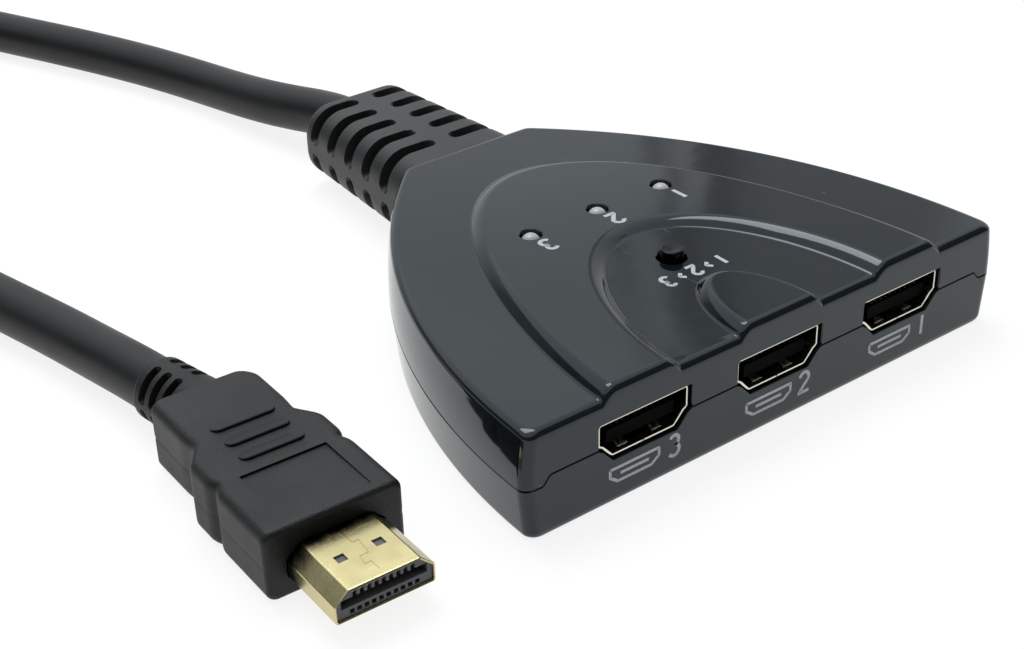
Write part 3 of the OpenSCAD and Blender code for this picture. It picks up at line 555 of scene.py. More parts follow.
def coverRings(v):
    # rings of the top from the middle out: x, y and z, where z blends rim, raised and sunk heights
    rimRing = halfOutline(case, case["lean"] + case["edge"], case["edge"], case["edge"])
    step = np.linalg.norm(np.diff(rimRing, axis=0), axis=1)
    share = np.concatenate([[0], np.cumsum(step)]) / step.sum()
    flats = []
    heights = []

    def archAt(a, k):
        # the arch's outline at the share k of the way out over its step
        half = a["half"] + a["side"] * (k - 0.5)
        length = a["length"] + a["bevel"] * (k - 0.5) - case["edge"]
        return archHalf(half, length, a["nose"], share)

    def lay(ring, raisedPart, sunkPart):
        # z = rim + raisedPart x (raised - rim) - sunkPart x (raised - sunk)
        y = ring[:, 1]
        up = plateauAt(y)
        flats.append(ring)
        heights.append(case["rim"] + raisedPart * (up - case["rim"]) - sunkPart * (up - sunkAt(y)))

    def layBevel(a, first, last, rising=False):
        # rings over one step, from the first pair of parts to the last
        for k in np.linspace(0, 1, v["bevelRings"]):
            e = 1 - fallen(1 - k, v["foot"]) if rising else fallen(k, v["foot"])
            lay(archAt(a, k), *(np.array(first) * (1 - e) + np.array(last) * e))

    def layBetween(ring, shares, *parts):
        # rings at given shares of the way from the last ring to the next
        first = flats[-1]
        for k in shares:
            lay(first * (1 - k) + ring * k, *parts)

    tongue, sunk, raised = v["tongue"], v["sunk"], v["raised"]
    even = np.array([0.2, 0.4, 0.6, 0.8])
    packed = np.concatenate([even[:3], np.linspace(0.72, 0.985, 14)])  # close together at the parting step
    inner = archAt(tongue, 0.0)
    lay(inner * np.array([0, 1]), 1, 0)
    layBetween(inner, even, 1, 0)
    layBevel(tongue, (1, 0), (1, 1))
    layBetween(archAt(sunk, 0.0), even, 1, 1)
    layBevel(sunk, (1, 1), (1, 0), rising=True)
    layBetween(archAt(raised, 0.0), even, 1, 0)
    layBevel(raised, (1, 0), (0, 0))
    layBetween(rimRing, packed, 0, 0)
    lay(rimRing, 0, 0)
    return np.dstack([np.array(flats), np.array(heights)])


def wallInsets(v, count):
    # insets of the slightly crowned sides and of the front, from the top edge down to the groove
    a = np.radians(np.linspace(0, 90, v["edgeSteps"]))
    inward = v["edge"] * (1 - np.sin(a))
    k = np.linspace(0, 1, count)[1:]
    side = np.concatenate([v["lean"] + inward, v["lean"] * (1 - k) ** 2, [v["groove"]]])
    front = np.concatenate([inward, np.zeros(len(k)), [v["groove"]]])
    return side, front


def wallHeights(v, count, top, foot):
    # heights that go with those insets, for columns of given top and foot
    a = np.radians(np.linspace(0, 90, v["edgeSteps"]))
    top = np.asarray(top)[..., None]
    foot = np.asarray(foot)[..., None]
    k = np.linspace(0, 1, count)[1:]
    wallTop = top - v["edge"]
    wall = wallTop + (foot + v["groove"] - wallTop) * k
    return np.concatenate([top - v["edge"] * (1 - np.cos(a)), wall, foot + v["seam"]], -1)


def makeCover(v):
    # top rings, front columns below their ends and side rings, mirrored and closed below
    top = coverRings(v)
    ends = top[:, 0, 0]
    rimX = ends[-1]
    side, front = wallInsets(case, v["wallRings"])
    sideRings = np.array([halfOutline(case, s, f, f) for s, f in zip(side, front)])
    outer = v["raised"]["half"] + v["raised"]["bevel"]
    shift = np.clip((ends - outer) / (rimX - outer), 0, 1)
    x = ends[:, None] + shift[:, None] * (sideRings[:, 0, 0] - rimX)[None]
    z = wallHeights(case, v["wallRings"], top[:, 0, 2], partingZ(case, x[:, -1]))
    columns = np.stack([x, np.broadcast_to(frontY + front, x.shape), z], -1)
    walls = np.dstack([sideRings, np.repeat(z[-1][:, None], sideRings.shape[1], 1)])
    half = [gridPart(top), gridPart(columns), gridPart(walls)]
    foot = np.vstack([columns[:, -1], walls[-1][1:]])
    loop = np.vstack([foot, (foot * np.array([-1, 1, 1]))[::-1]])
    parts = half + [mirrored(p) for p in half] + [fanPart(loop, (0, 0, partZ + case["seam"]))]
    return makePiece("topCover", parts)


def stackPiece(name, levels):
    # a closed body through outlines at rising heights; a level holds height and side, front and neck insets
    rings = []
    for z, side, front, neck in levels:
        half = halfOutline(case, side, front, neck)
        ring = np.vstack([half, (half * np.array([-1, 1]))[::-1][1:]])
        rings.append(np.column_stack([ring, np.full(len(ring), z)]))
    return makePiece(name, [gridPart(np.array(rings), ring=True, caps=True)])


def rod(name, centre, radius, z0, z1):
    # an upright cylinder between two heights
    profile = np.array([(0, z0), (radius, z0), (radius, z1), (0, z1)], float)
    return makePiece(name, [turned(profile, centre)])


def holeCutter(name, centre, diameter, chamfer, z):
    # a drill with a small countersink at height z
    r = diameter / 2
    over = 1.0
    deep = z - 6
    wide = r + chamfer + over
    profile = np.array([(0, deep), (r, deep), (r, z - chamfer), (wide, z + over), (0, z + over)])
    return makePiece(name, [turned(profile, centre)])


# sockets: bent sheet shells with a rolled front edge
socket = dict(
    width=15.4, narrow=11.0, height=5.7, side=3.45, step=0.75, stepDown=0.45, depth=11.5,
    sheet=0.42, roll=0.18, bend=0.45, seam=0.16, seamLength=1.6, sunk=0.5, tuck=0.15, innerBend=0.25,
)
socketNames = ("socket_shell_1", "socket_shell_2", "socket_shell_3")
socketBoxes = [corners(n) for n in socketNames]
socketX = [(low[0] + high[0]) / 2 for low, high in socketBoxes]
socketTop = socketBoxes[0][1][2]


def socketOutline(v, grow=0.0, bend=0.0):
    # outer outline of a socket, anticlockwise from its lower left, with ogee lower corners
    w = v["width"] / 2
    n = v["narrow"] / 2
    lower = (w - v["step"], -v["side"] - v["stepDown"])
    right = [(n - v["tuck"], -v["height"]), lower, (w, -v["side"]), (w, 0)]
    points = np.array(right + [(-x, z) for x, z in right[::-1]])
    points = inset(points, -grow)
    points[:, 1] += socketTop
    return rounded(points, bend or v["bend"])


def socketCutters(label, y1):
    # prisms a little larger than the sockets, through the front wall
    cuts = []
    for k, x in enumerate(socketX):
        hole = socketOutline(socket, openings["socketPlay"], openings["socketBend"]) + np.array([x, 0])
        cuts.append(prism(f"{label}Socket{k}", hole, frontY - 1, y1))
    return cuts


def neckBlock(size):
    # a rectangle about the lead's axis, from half its width and half its height
    w, h = size
    return np.array([(-w, bootAxis - h), (w, bootAxis - h), (w, bootAxis + h), (-w, bootAxis + h)], float)


def neckCutter(label):
    # the lead's way through the neck's wall
    return prism(label + "Neck", neckBlock(openings["neckHole"]), neckY - case["wall"] - 1, neckY + 1)


def finishCover(v):
    # the cover less its hollow and holes, where four posts stay in the hollow and get their bores
    cover = makeCover(arches)
    wall, lean, roof = case["wall"], case["lean"], case["rim"] - case["skin"]
    hollow = stackPiece("coverHollow", [
        (partZ - 1, wall, wall, wall), (partZ, wall, wall, wall), (roof, wall + lean, wall, wall)])
    carve(hollow, [rod(f"post{k}", p, posts["radius"], posts["foot"], roof + 1)
                   for k, p in enumerate(screwPlaces)])
    cuts = [hollow, neckCutter("cover")]
    cuts += socketCutters("cover", frontY + wall + 1)
    cuts += [holeCutter(f"lampHole{k}", p, v["lampHole"], v["lampChamfer"], plateauAt(p[1]))
             for k, p in enumerate(lampPlaces)]
    floorZ = sunkAt(buttonPlace[1])
    cuts += [holeCutter("buttonHole", buttonPlace, v["buttonHole"], v["buttonChamfer"], floorZ)]
    cuts += [rod(f"bore{k}", p, posts["bore"], posts["boreFoot"], posts["boreTop"])
             for k, p in enumerate(screwPlaces)]
    carve(cover, cuts)
    smooth(cover)
    return dress(cover, finishes["case"], "case_plastic", "housing", "top_cover")


coverPiece = finishCover(openings)
print("top cover made:", len(coverPiece.data.polygons), "faces")


# bottom case: front strip, corners and sides from the parting line down to the rounded base
bottom = dict(
    filletSteps=8, sinkRadius=2.6, sinkDepth=2.2, shankRadius=1.4, footRadius=3.7, footLow=0.5, footTop=5.2,
)


def makeBottom(v):
    # closed rings at falling heights; on the front the first ring follows the parting step
    a = np.radians(np.linspace(0, 90, v["filletSteps"]))
    k = np.linspace(0, 1, 6)
    lean, edge = case["baseLean"], case["baseEdge"]
    side = np.concatenate([[case["groove"]], lean * k, lean + edge * (1 - np.cos(a[1:]))])
    front = np.concatenate([[case["groove"]], 0 * k, edge / 2 * (1 - np.cos(a[1:]))])
    share = np.unique(np.concatenate([np.linspace(0, 0.9, 10), np.linspace(0.9, 1, 16)]))[:-1]
    rings = []
    for s, f in zip(side, front):
        half = halfOutline(case, s, f, f)
        ahead = np.column_stack([share * half[0, 0], np.full(len(share), half[0, 1])])
        rings.append(np.vstack([ahead, half]))
    rings = np.array(rings)
    parting = np.where(rings[:, :, 1] < frontY + 1, partingZ(case, rings[:, :, 0]), partZ)
    z = np.empty(rings.shape[:2])
    z[0] = parting[0] - case["seam"]
    z[1:7] = (parting[1:7] - case["groove"]) * (1 - k)[:, None] + edge * k[:, None]
    z[7:] = edge * (1 - np.sin(a[1:]))[:, None]
    half = gridPart(np.dstack([rings, z]))
    rim = np.column_stack([rings[0], z[0]])
    foot = np.column_stack([rings[-1], z[-1]])
    flip = np.array([-1, 1, 1])
    rimLoop = np.vstack([rim, (rim * flip)[::-1][1:-1]])
    footLoop = np.vstack([foot, (foot * flip)[::-1][1:-1]])
    floor = (footLoop, [list(range(len(footLoop)))])
    return makePiece("bottomCase", [half, mirrored(half), fanPart(rimLoop, (0, 0, partZ)), floor])


def finishBottom(v):
    # the bottom less its hollow and holes, where four feet stay in the hollow for the screws
    piece = makeBottom(v)
    wall = case["wall"]
    hollow = stackPiece("baseHollow", [
        (case["skin"], wall + case["baseLean"], wall, wall),
        (partZ, wall, wall, wall), (lipZ + 1, wall, wall, wall)])
    carve(hollow, [rod(f"foot{k}", p, v["footRadius"], v["footLow"], v["footTop"])
                   for k, p in enumerate(screwPlaces)])
    cuts = [hollow, neckCutter("base")] + socketCutters("base", frontY + wall + 1)
    cuts += [rod(f"sink{k}", p, v["sinkRadius"], -1, v["sinkDepth"]) for k, p in enumerate(screwPlaces)]
    cuts += [rod(f"shank{k}", p, v["shankRadius"], -1, v["footTop"] + 1) for k, p in enumerate(screwPlaces)]
    carve(piece, cuts)
    smooth(piece)
    return dress(piece, finishes["case"], "case_plastic", "housing", "bottom_case")


bottomPiece = finishBottom(bottom)
print("bottom case made:", len(bottomPiece.data.polygons), "faces")


def sheetTube(outer, inner, y0, y1, roll):
    # a sheet tube closed in both ways: outer wall, rolled front edge, inner wall, back edge
    mid = (outer + inner) / 2
    share = 0.3
    near = y0 + roll * share
    rows = [(outer, y1), (outer, y0 + roll), (outer * (1 - share) + mid * share, near), (mid, y0),
            (inner * (1 - share) + mid * share, near), (inner, y0 + roll), (inner, y1)]
    grid = np.array([np.column_stack([o[:, 0], np.full(len(o), y), o[:, 1]]) for o, y in rows])
    return gridPart(grid, ring=True, loop=True)


springs = dict(across=2.9, width=1.7, start=1.2, length=6.0, lift=0.75, sheet=0.22, count=16,
               bow=0.8, sunk=0.05, taper=0.25)


def springPart(v, x, z, up):
    # a strip that bows from the shell's wall towards the middle and back
    t = np.linspace(0, 1, v["count"])
    y = frontY + v["start"] + v["length"] * t
    bow = z + up * (v["lift"] * np.sin(np.pi * t) ** v["bow"] - v["sunk"])
    w = v["width"] / 2 * (1 - v["taper"] * t)
    under = bow - up * v["sheet"]
    grid = np.stack([
        np.column_stack([x - w, y, bow]), np.column_stack([x + w, y, bow]),
        np.column_stack([x + w, y, under]), np.column_stack([x - w, y, under])], 1)
    return gridPart(grid, ring=True, caps=True)


def makeSocket(k, v):
    # a sheet tube with a seam below its mouth, and four springs in it
    x = socketX[k]
    outer = socketOutline(v) + np.array([x, 0])
    inner = socketOutline(v, -v["sheet"], v["innerBend"]) + np.array([x, 0])
    tube = sheetTube(outer, inner, frontY + v["sunk"], frontY + v["depth"], v["roll"])
    shell = makePiece(f"socketShell{k + 1}", [tube])
    foot = socketTop - v["height"]
    s = v["seam"] / 2
    slit = np.array([(x - s, foot - 1), (x + s, foot - 1), (x + s, foot + 1), (x - s, foot + 1)])
    carve(shell, [prism(f"slit{k}", slit, frontY - 1, frontY + v["seamLength"])])
    low = foot + v["sheet"]
    high = socketTop - v["sheet"]
    tabs = [springPart(springs, x + s * springs["across"], z, up)
            for s in (-1, 1) for z, up in ((low, 1), (high, -1))]
    spring = makePiece(f"springTabs{k + 1}", tabs)
    smooth(shell, 40)
    smooth(spring, 40, flat=False)
    dress(shell, finishes["nickel"], "socket_nickel", "housing", f"socket_shell_{k + 1}")
    dress(spring, finishes["nickel"], "socket_nickel", "housing")


for k in range(3):
    makeSocket(k, socket)
print("sockets made")


# lamps and button
lens = dict(radius=1.5, flange=1.9, flangeHeight=1.0, height=5.3, up=0.1)
plunger = dict(radius=1.75, flange=2.3, flangeHeight=0.6, nub=0.8, nubHeight=0.15, round=0.3, dish=0.12)
snapDome = dict(sheet=0.1, travel=0.25, spare=0.02, rings=9)


def makeLamp(k, v):
    # a bullet lens: flange, straight barrel and round dome
    top = plateauAt(lampPlaces[k][1]) + v["up"]
    foot = top - v["height"]
    a = np.radians(np.linspace(0, 90, 10))
    dome = np.column_stack([v["radius"] * np.cos(a), top - v["radius"] + v["radius"] * np.sin(a)])
    flange = np.array([(0, foot), (v["flange"], foot), (v["flange"], foot + v["flangeHeight"]),
                       (v["radius"], foot + v["flangeHeight"])])
    piece = makePiece(f"lampLens{k + 1}", [turned(np.vstack([flange, dome]), lampPlaces[k], 40)])
    smooth(piece, 40)
    return dress(piece, finishes["resin"], "lamp_resin", "housing", lampNodes[k])


def makeButton(v):
    # a plunger with a rounded top edge and a slightly dished top
    low, high = corners("select_button")
    a = np.radians(np.linspace(0, 90, 7))
    rimR = v["radius"] - v["round"] * (1 - np.cos(a))
    rim = np.column_stack([rimR, high[2] - v["round"] * (1 - np.sin(a))])
    r = np.linspace(rim[-1, 0], 0, 8)[1:]
    dish = np.column_stack([r, high[2] - v["dish"] * (1 - (r / rim[-1, 0]) ** 2)])
    under = low[2] + v["nubHeight"]
    over = under + v["flangeHeight"]
    foot = np.array([(0, low[2]), (v["nub"], low[2]), (v["nub"], under), (v["flange"], under),
                     (v["flange"], over), (v["radius"], over)])
    piece = makePiece("selectButton", [turned(np.vstack([foot, rim, dish]), buttonPlace, 40)])
    smooth(piece, 40)
    return dress(piece, finishes["button"], "button_plastic", "button", "select_button")


def makeDome(v):
    # a cap inside a cap, with z = h - R + sqrt(R R - r r)
    low, high = corners("snap_dome")
    height = high[2] - low[2]

    def cap(radius, h):
        # radius and height along a cap, whose ball has the radius (r r + h h) / 2 h
        ball = (radius ** 2 + h ** 2) / (2 * h)
        r = np.linspace(0, radius, v["rings"])
        return np.column_stack([r, low[2] + h - ball + np.sqrt(ball ** 2 - r ** 2)])

    radius = (high[0] - low[0]) / 2
    under = cap(radius - v["sheet"], height - v["sheet"])
    over = cap(radius, height)
    piece = makePiece("snapDome", [turned(np.vstack([under, over[::-1]]), buttonPlace, 40)])
    smooth(piece, 40)
    dress(piece, finishes["steel"], "screw_steel", "housing", "snap_dome")
    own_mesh(piece)


for k in range(3):
    makeLamp(k, lens)
makeButton(plunger)
makeDome(snapDome)
print("lamps and button made")


# boot: a tapered rounded block whose slots wrap its four long edges
boot = dict(
    w1=24.5, w2=21.4, h1=14.2, h2=12.8, radius=5.2, rows=5, pitch=5.7, start=6.8, slot=2.4, deep=3.2,
    spineTop=3.5, spineSide=2.1, endRound=1.6, soft=0.25, around=320,
    waist=(7.0, 4.0), collar=(8.2, 4.8),
)


def pillMask(u, y, u0, u1, places, half, soft):
    # 1 inside pills from u0 to u1 that lie across the given places, 0 outside, with a steep wall
    du = np.maximum(np.maximum(u0 + half - u, u - (u1 - half)), 0)[..., None]
    dy = np.abs(y[..., None] - places)
    far = (np.sqrt(du ** 2 + dy ** 2) - half).min(-1)
    return 1 - ease(far, -soft, 0.08)


def crowd(places, half, soft, start, end, spread):
    # steps along a piece, close together at each slot's walls
    near = np.array([-half - 0.1, -half, -half + soft / 2, -half + soft, -half * 0.4])
    near = np.concatenate([near, [0], -near])
    plain = np.arange(start, end, spread)
    crowdY = np.unique(np.concatenate([plain, (places[:, None] + near).ravel(), [start, end]]))
    keep = np.concatenate([[True], np.diff(crowdY) > 0.03])
    return crowdY[keep & (crowdY >= start) & (crowdY <= end)]


def roundRectPoint(share, w, h, r):
    # point, outward normal and run from the nearest top or bottom middle, at a share of the way round
    flatX = w / 2 - r
    flatZ = h / 2 - r
    quarter = flatX + flatZ + np.pi / 2 * r
    q = share * 4
    turn = np.floor(q)
    u = (q - turn) * quarter
    odd = (turn % 2) == 1
    u = np.where(odd, quarter - u, u)
    a = np.clip((u - flatX) / r, 0, np.pi / 2)
    x = np.minimum(u, flatX) + r * np.sin(a)
    z = flatZ + r * np.cos(a) - np.maximum(u - flatX - np.pi / 2 * r, 0)
    sx = np.where((turn == 0) | (turn == 1), 1, -1)
    sz = np.where((turn == 0) | (turn == 3), 1, -1)
    return sx * x, sz * z, sx * np.sin(a), sz * np.cos(a), u, quarter


def makeBoot(v):
    # rounded rectangles along Y, pushed in at the slots, with a rounded free end
    length = bootHigh[1] - neckY
    places = v["start"] + v["pitch"] * np.arange(v["rows"])
    body = crowd(places, v["slot"] / 2, v["soft"], 0.0, length - v["endRound"], 0.7)
    a = np.radians(np.linspace(0, 90, 7))[1:]
    y = np.concatenate([body, length - v["endRound"] * (1 - np.sin(a))])
    shrink = np.concatenate([np.zeros(len(body)), v["endRound"] * (1 - np.cos(a))])
    share = ((np.arange(v["around"]) + 0.5) / v["around"])[None]
    y = y[:, None]
    shrink = shrink[:, None]
    w = v["w1"] + (v["w2"] - v["w1"]) * y / length - 2 * shrink
    h = v["h1"] + (v["h2"] - v["h1"]) * y / length - 2 * shrink
    x, z, nx, nz, u, quarter = roundRectPoint(share, w, h, v["radius"] - shrink * 0.8)
    mask = pillMask(u, np.broadcast_to(y, u.shape), v["spineTop"] / 2, quarter - v["spineSide"] / 2,
                    places, v["slot"] / 2, v["soft"])
    push = v["deep"] * mask
    grid = np.stack([x - nx * push, np.broadcast_to(neckY + y, x.shape), bootAxis + z - nz * push], -1)
    piece = makePiece("boot", [gridPart(grid, ring=True, caps=True)])
    neck = neckY - case["wall"]
    waist = prism("waist", neckBlock(v["waist"]), neck - 1, neckY + 0.5)
    collar = prism("collar", neckBlock(v["collar"]), neck - 1.3, neck - 0.1)
    carve(piece, [waist, collar], "UNION")
    smooth(piece, 38, flat=False)
    return dress(piece, finishes["soft"], "soft_moulding", "housing", "boot")


bootPiece = makeBoot(boot)
print("boot made:", len(bootPiece.data.polygons), "faces")


# plug: everything in its own frame (across, along, up) and then set on its mount
def plugPart(part):
    # place = front + x across + y along + z up
    points, faces = part
    level = points[:, :1] * plugAcross + points[:, 1:2] * plugAlong
    return plugFront + level + points[:, 2:] * np.array([0, 0, 1]), faces


def plugPrism(name, outline, y0, y1):
    # an outline across and up, drawn along the plug
    ends = [np.column_stack([outline[:, 0], np.full(len(outline), y), outline[:, 1]]) for y in (y0, y1)]
    return makePiece(name, [plugPart(gridPart(np.stack(ends), ring=True, caps=True))])


def plugBox(name, low, high):
    # a block in the plug's frame between two corners
    x0, y0, z0 = low
    x1, y1, z1 = high
    return plugPrism(name, np.array([(x0, z0), (x1, z0), (x1, z1), (x0, z1)]), y0, y1)


grip = dict(
    width=19.6, height=10.2, rear=15.6, radius=1.4, dipY=13.2, dipLength=4.2, dip=0.8, dipShape=0.7,
    taperY=22.8, taperLength=4.3, notch=0.2, notchFore=1.5, notchAft=3.5,
    frontRound=0.8, rearRound=0.6, seam=0.14, seamWide=0.16, around=160, spread=0.35,
    barX=(-4.2, 5.1), barY=(15.0, 18.8, 22.75), barWidth=2.2, barHigh=0.45,
    barFall=1.0, barRoot=0.4, barRound=0.12,
    panelX=(-6.1, 6.3), panelY=(1.6, 12.6), panelDeep=0.34, panelFront=0.14, rearCut=1.3, rearCutLength=3.2,
    shoulder=0.8, shoulderLength=1.2, mouthPlay=0.12, mouthBend=0.5, mouthOver=0.1,
)
tail = dict(
    r0=5.05, r1=4.95, r2=4.7, rows=3, pitch=2.4, start=3.0, slot=1.25, deep=1.2, spineTop=2.0, spineSide=1.1,
    soft=0.15, around=240, root=2.2, rootEnd=1.2, end=0.4, endFall=0.2, lastRing=0.12, spread=0.4,
)


def gripHalf(v, y):
    # half width: a dip between two lobes, a smaller notch, then the narrower rear and its shoulders
    across = ease(y, v["dipY"] - v["dipLength"] / 2, v["dipY"] + v["dipLength"] / 2)
    dip = v["dip"] * (1 - np.abs(across * 2 - 1) ** v["dipShape"])
    taper = (v["width"] - v["rear"]) / 2 * ease(y, v["taperY"] - v["taperLength"], v["taperY"])
    into = ease(y, v["taperY"] - v["notchFore"], v["taperY"])
    outOf = ease(y, v["taperY"], v["taperY"] + v["notchAft"])
    notch = v["notch"] * (into - outOf)
    end = v["shoulder"] * ease(y, plugReach["grip"] - v["shoulderLength"], plugReach["grip"]) ** 2
    return v["width"] / 2 - dip - taper - notch - end


def tailPart(t):
    # a cone of round rings, pushed in at the slots between four spines, and turned at the grip's rear
    places = t["start"] + t["pitch"] * np.arange(t["rows"])
    far = plugReach["tail"]
    y = crowd(places, t["slot"] / 2, t["soft"], -t["root"], far - t["end"], t["spread"])
    y = np.concatenate([y, [far - t["lastRing"], far]])[:, None]
    stops = [-t["root"], t["rootEnd"], far - t["end"], far]
    r = np.interp(y, stops, [t["r0"], t["r1"], t["r2"], t["r2"] - t["endFall"]])
    b = np.linspace(0, 2 * np.pi, t["around"], endpoint=False)[None]
    fromTop = np.abs((b + np.pi / 2) % np.pi - np.pi / 2) * t["r1"]
    slotEnd = np.pi / 2 * t["r1"] - t["spineSide"] / 2
    mask = pillMask(fromTop + 0 * y, y + 0 * b, t["spineTop"] / 2, slotEnd, places, t["slot"] / 2, t["soft"])
    r = r - t["deep"] * mask
    base = plugReach["out"] + plugReach["grip"]
    cosT, sinT = math.cos(tailTurn), math.sin(tailTurn)
    across = r * np.sin(b)
    rings = np.stack([across * cosT - y * sinT, base + across * sinT + y * cosT, r * np.cos(b)], -1)
    return plugPart(gridPart(rings, ring=True, caps=True))


def barPart(v, at):
    # a pill with a rounded upper edge, whose height falls over its width towards the rear
    x0, x1 = v["barX"]
    half = v["barWidth"] / 2
    right = arc((x1 - half, at + half), half, -90, 90, 14)
    left = arc((x0 + half, at + half), half, 90, 270, 14)
    pill = np.vstack([right, left])
    levels = ((0.0, -v["barRoot"]), (0.0, v["barHigh"] - v["barRound"]), (v["barRound"], v["barHigh"]))
    flats = [inset(pill, i) if i else pill for i, z in levels]
    fall = [1 - v["barFall"] * np.clip((p[:, 1] - at) / v["barWidth"], 0, 1) for p in flats]
    lifts = [z * f if z > 0 else z + 0 * f for (i, z), f in zip(levels, fall)]
    grid = np.array([np.column_stack([p, v["height"] / 2 + z]) for p, z in zip(flats, lifts)])
    return plugPart(gridPart(grid + np.array([0, plugReach["out"], 0]), ring=True, caps=True))


def panelPart(v):
    # a wedge that cuts the sunk panel, shallow at its front and deeper at its rear
    x0, x1 = v["panelX"]
    y0, y1 = v["panelY"]
    top = v["height"] / 2
    shallow = top - v["panelFront"]
    deep = top - v["panelDeep"]
    over = top + 1
    wedge = np.array([
        [(x0, y0, shallow), (x1, y0, shallow), (x1, y1, deep), (x0, y1, deep)],
        [(x0, y0, over), (x1, y0, over), (x1, y1, over), (x0, y1, over)],
    ], float)
    return plugPart(gridPart(wedge + np.array([0, plugReach["out"], 0]), ring=True, caps=True))


def makeGrip(v, t):
    # rounded rectangles along the plug with rounded front and rear edges, then tail, bars, panel and mouth
    length = plugReach["grip"]
    a = np.radians(np.linspace(0, 90, 7))
    fore = v["frontRound"] * (1 - np.cos(a))
    foreIn = v["frontRound"] * (1 - np.sin(a))
    aft = length - v["rearRound"] * (1 - np.sin(a[1:]))
    aftIn = v["rearRound"] * (1 - np.cos(a[1:]))
    body = np.arange(fore[-1], length - v["rearRound"], v["spread"])
    y = np.concatenate([fore, body[1:], aft])[:, None]
    shrink = np.concatenate([foreIn, np.zeros(len(body) - 1), aftIn])[:, None]
    share = ((np.arange(v["around"]) + 0.5) / v["around"])[None]
    w = 2 * (gripHalf(v, y) - shrink)
    h = v["height"] - 2 * shrink + 0 * y
    x, z, nx, nz, u, quarter = roundRectPoint(share, w, h, v["radius"] - shrink * 0.5)
    cut = v["rearCut"] * ease(y, length - v["rearCutLength"], length) ** 2
    x = x - cut * np.clip(2 * x / w, 0, 1)
    crease = v["seam"] * np.exp(-(z / v["seamWide"]) ** 2) * (np.abs(nx) > 0.9)
    grid = np.stack([x - nx * crease, plugReach["out"] + np.broadcast_to(y, x.shape), z], -1)
    piece = makePiece("plugGrip", [plugPart(gridPart(grid, ring=True, caps=True))])
    tailPiece = makePiece("plugTail", [tailPart(t)])
    bars = [makePiece(f"bar{k}", [barPart(v, at)]) for k, at in enumerate(v["barY"])]
    carve(piece, [tailPiece] + bars, "UNION")
    panel = makePiece("panel", [panelPart(v)])
    mouthEnd = plugReach["out"] + plugReach["inside"] + v["mouthOver"]
    opening = plugOutline(v["mouthPlay"], v["mouthBend"])
    mouth = plugPrism("gripMouth", opening, plugReach["out"] - 1, mouthEnd)
    carve(piece, [panel, mouth])
    smooth(piece, 34)
    return dress(piece, finishes["grip"], "soft_moulding", "housing", "plug_grip")


plugShell = dict(
    width=13.9, narrow=9.9, height=4.45, side=2.6, sheet=0.3, roll=0.22, bend=0.42, innerBend=0.22,
    windowX=2.65, windowY=5.6, window=1.4, windowReach=0.6, seam=0.09, seamDeep=0.08, seamReach=0.3,
    seamPath=((0.0, 1.2, 0.0, 3.0), (-0.9, 3.0, 0.0, 3.0), (-0.9, 3.0, -0.6, 4.6), (-0.6, 4.6, 0.6, 4.6),
              (0.6, 4.6, 0.9, 7.4), (0.0, 7.4, 0.9, 7.4), (0.0, 7.4, 0.0, 11.0)),
)


def plugOutline(grow=0.0, bend=0.0):
    # outer outline of the plug's shell, narrow side up, about the plug's axis
    v = plugShell
    w, n, h = v["width"] / 2, v["narrow"] / 2, v["height"] / 2
    knee = v["side"] - h
    points = np.array([(-w, -h), (w, -h), (w, knee), (n, h), (-n, h), (-w, knee)])
    return rounded(inset(points, -grow), bend or v["bend"])


def makeShell(v):
    # a sheet tube less two windows and the thin lines of its seam, each line a flat bar from end to end
    length = plugReach["out"] + plugReach["inside"]
    tube = sheetTube(plugOutline(), plugOutline(-v["sheet"], v["innerBend"]), 0.0, length, v["roll"])
    piece = makePiece("plugShell", [plugPart(tube)])
    top = v["height"] / 2
    half = v["window"] / 2
    reach = v["windowReach"]
    cuts = []
    for k, x in enumerate((-v["windowX"], v["windowX"])):
        low = (x - half, v["windowY"] - half, top - reach)
        high = (x + half, v["windowY"] + half, top + reach)
        cuts.append(plugBox(f"window{k}", low, high))
    e = v["seam"] / 2
    heights = (top - v["seamDeep"], top + v["seamReach"])
    for k, (x0, y0, x1, y1) in enumerate(v["seamPath"]):
        d = np.array([x1 - x0, y1 - y0])
        d /= np.linalg.norm(d)
        n = np.array([-d[1], d[0]]) * e
        a = np.array([x0, y0]) - d * e
        b = np.array([x1, y1]) + d * e
        flat = np.array([a - n, b - n, b + n, a + n])
        grid = np.array([np.column_stack([flat, np.full(4, z)]) for z in heights])
        cuts.append(makePiece(f"seam{k}", [plugPart(gridPart(grid, ring=True, caps=True))]))
    carve(piece, cuts)
    smooth(piece, 36)
    return dress(piece, makeGilt(gilt), "plug_gilt", "housing", "plug_shell")


gilt = dict(
    look=dict(dark=(0.55, 0.475, 0.235), light=(0.67, 0.59, 0.335), rough=(0.2, 0.3), metal=1.0,
              bump=0.04, pits=2500.0, drift=220.0, dust=0.999),
    # the gold turns dark brown in blotches over its last few millimetres before the grip
    gripDarkening=(0.03, 0.026, 0.018), gripDarkeningFrom=0.0081, gripDarkeningTo=0.0112, blotch=900.0, blotchShare=0.9,
    cut=(0.78, 1.25),
)


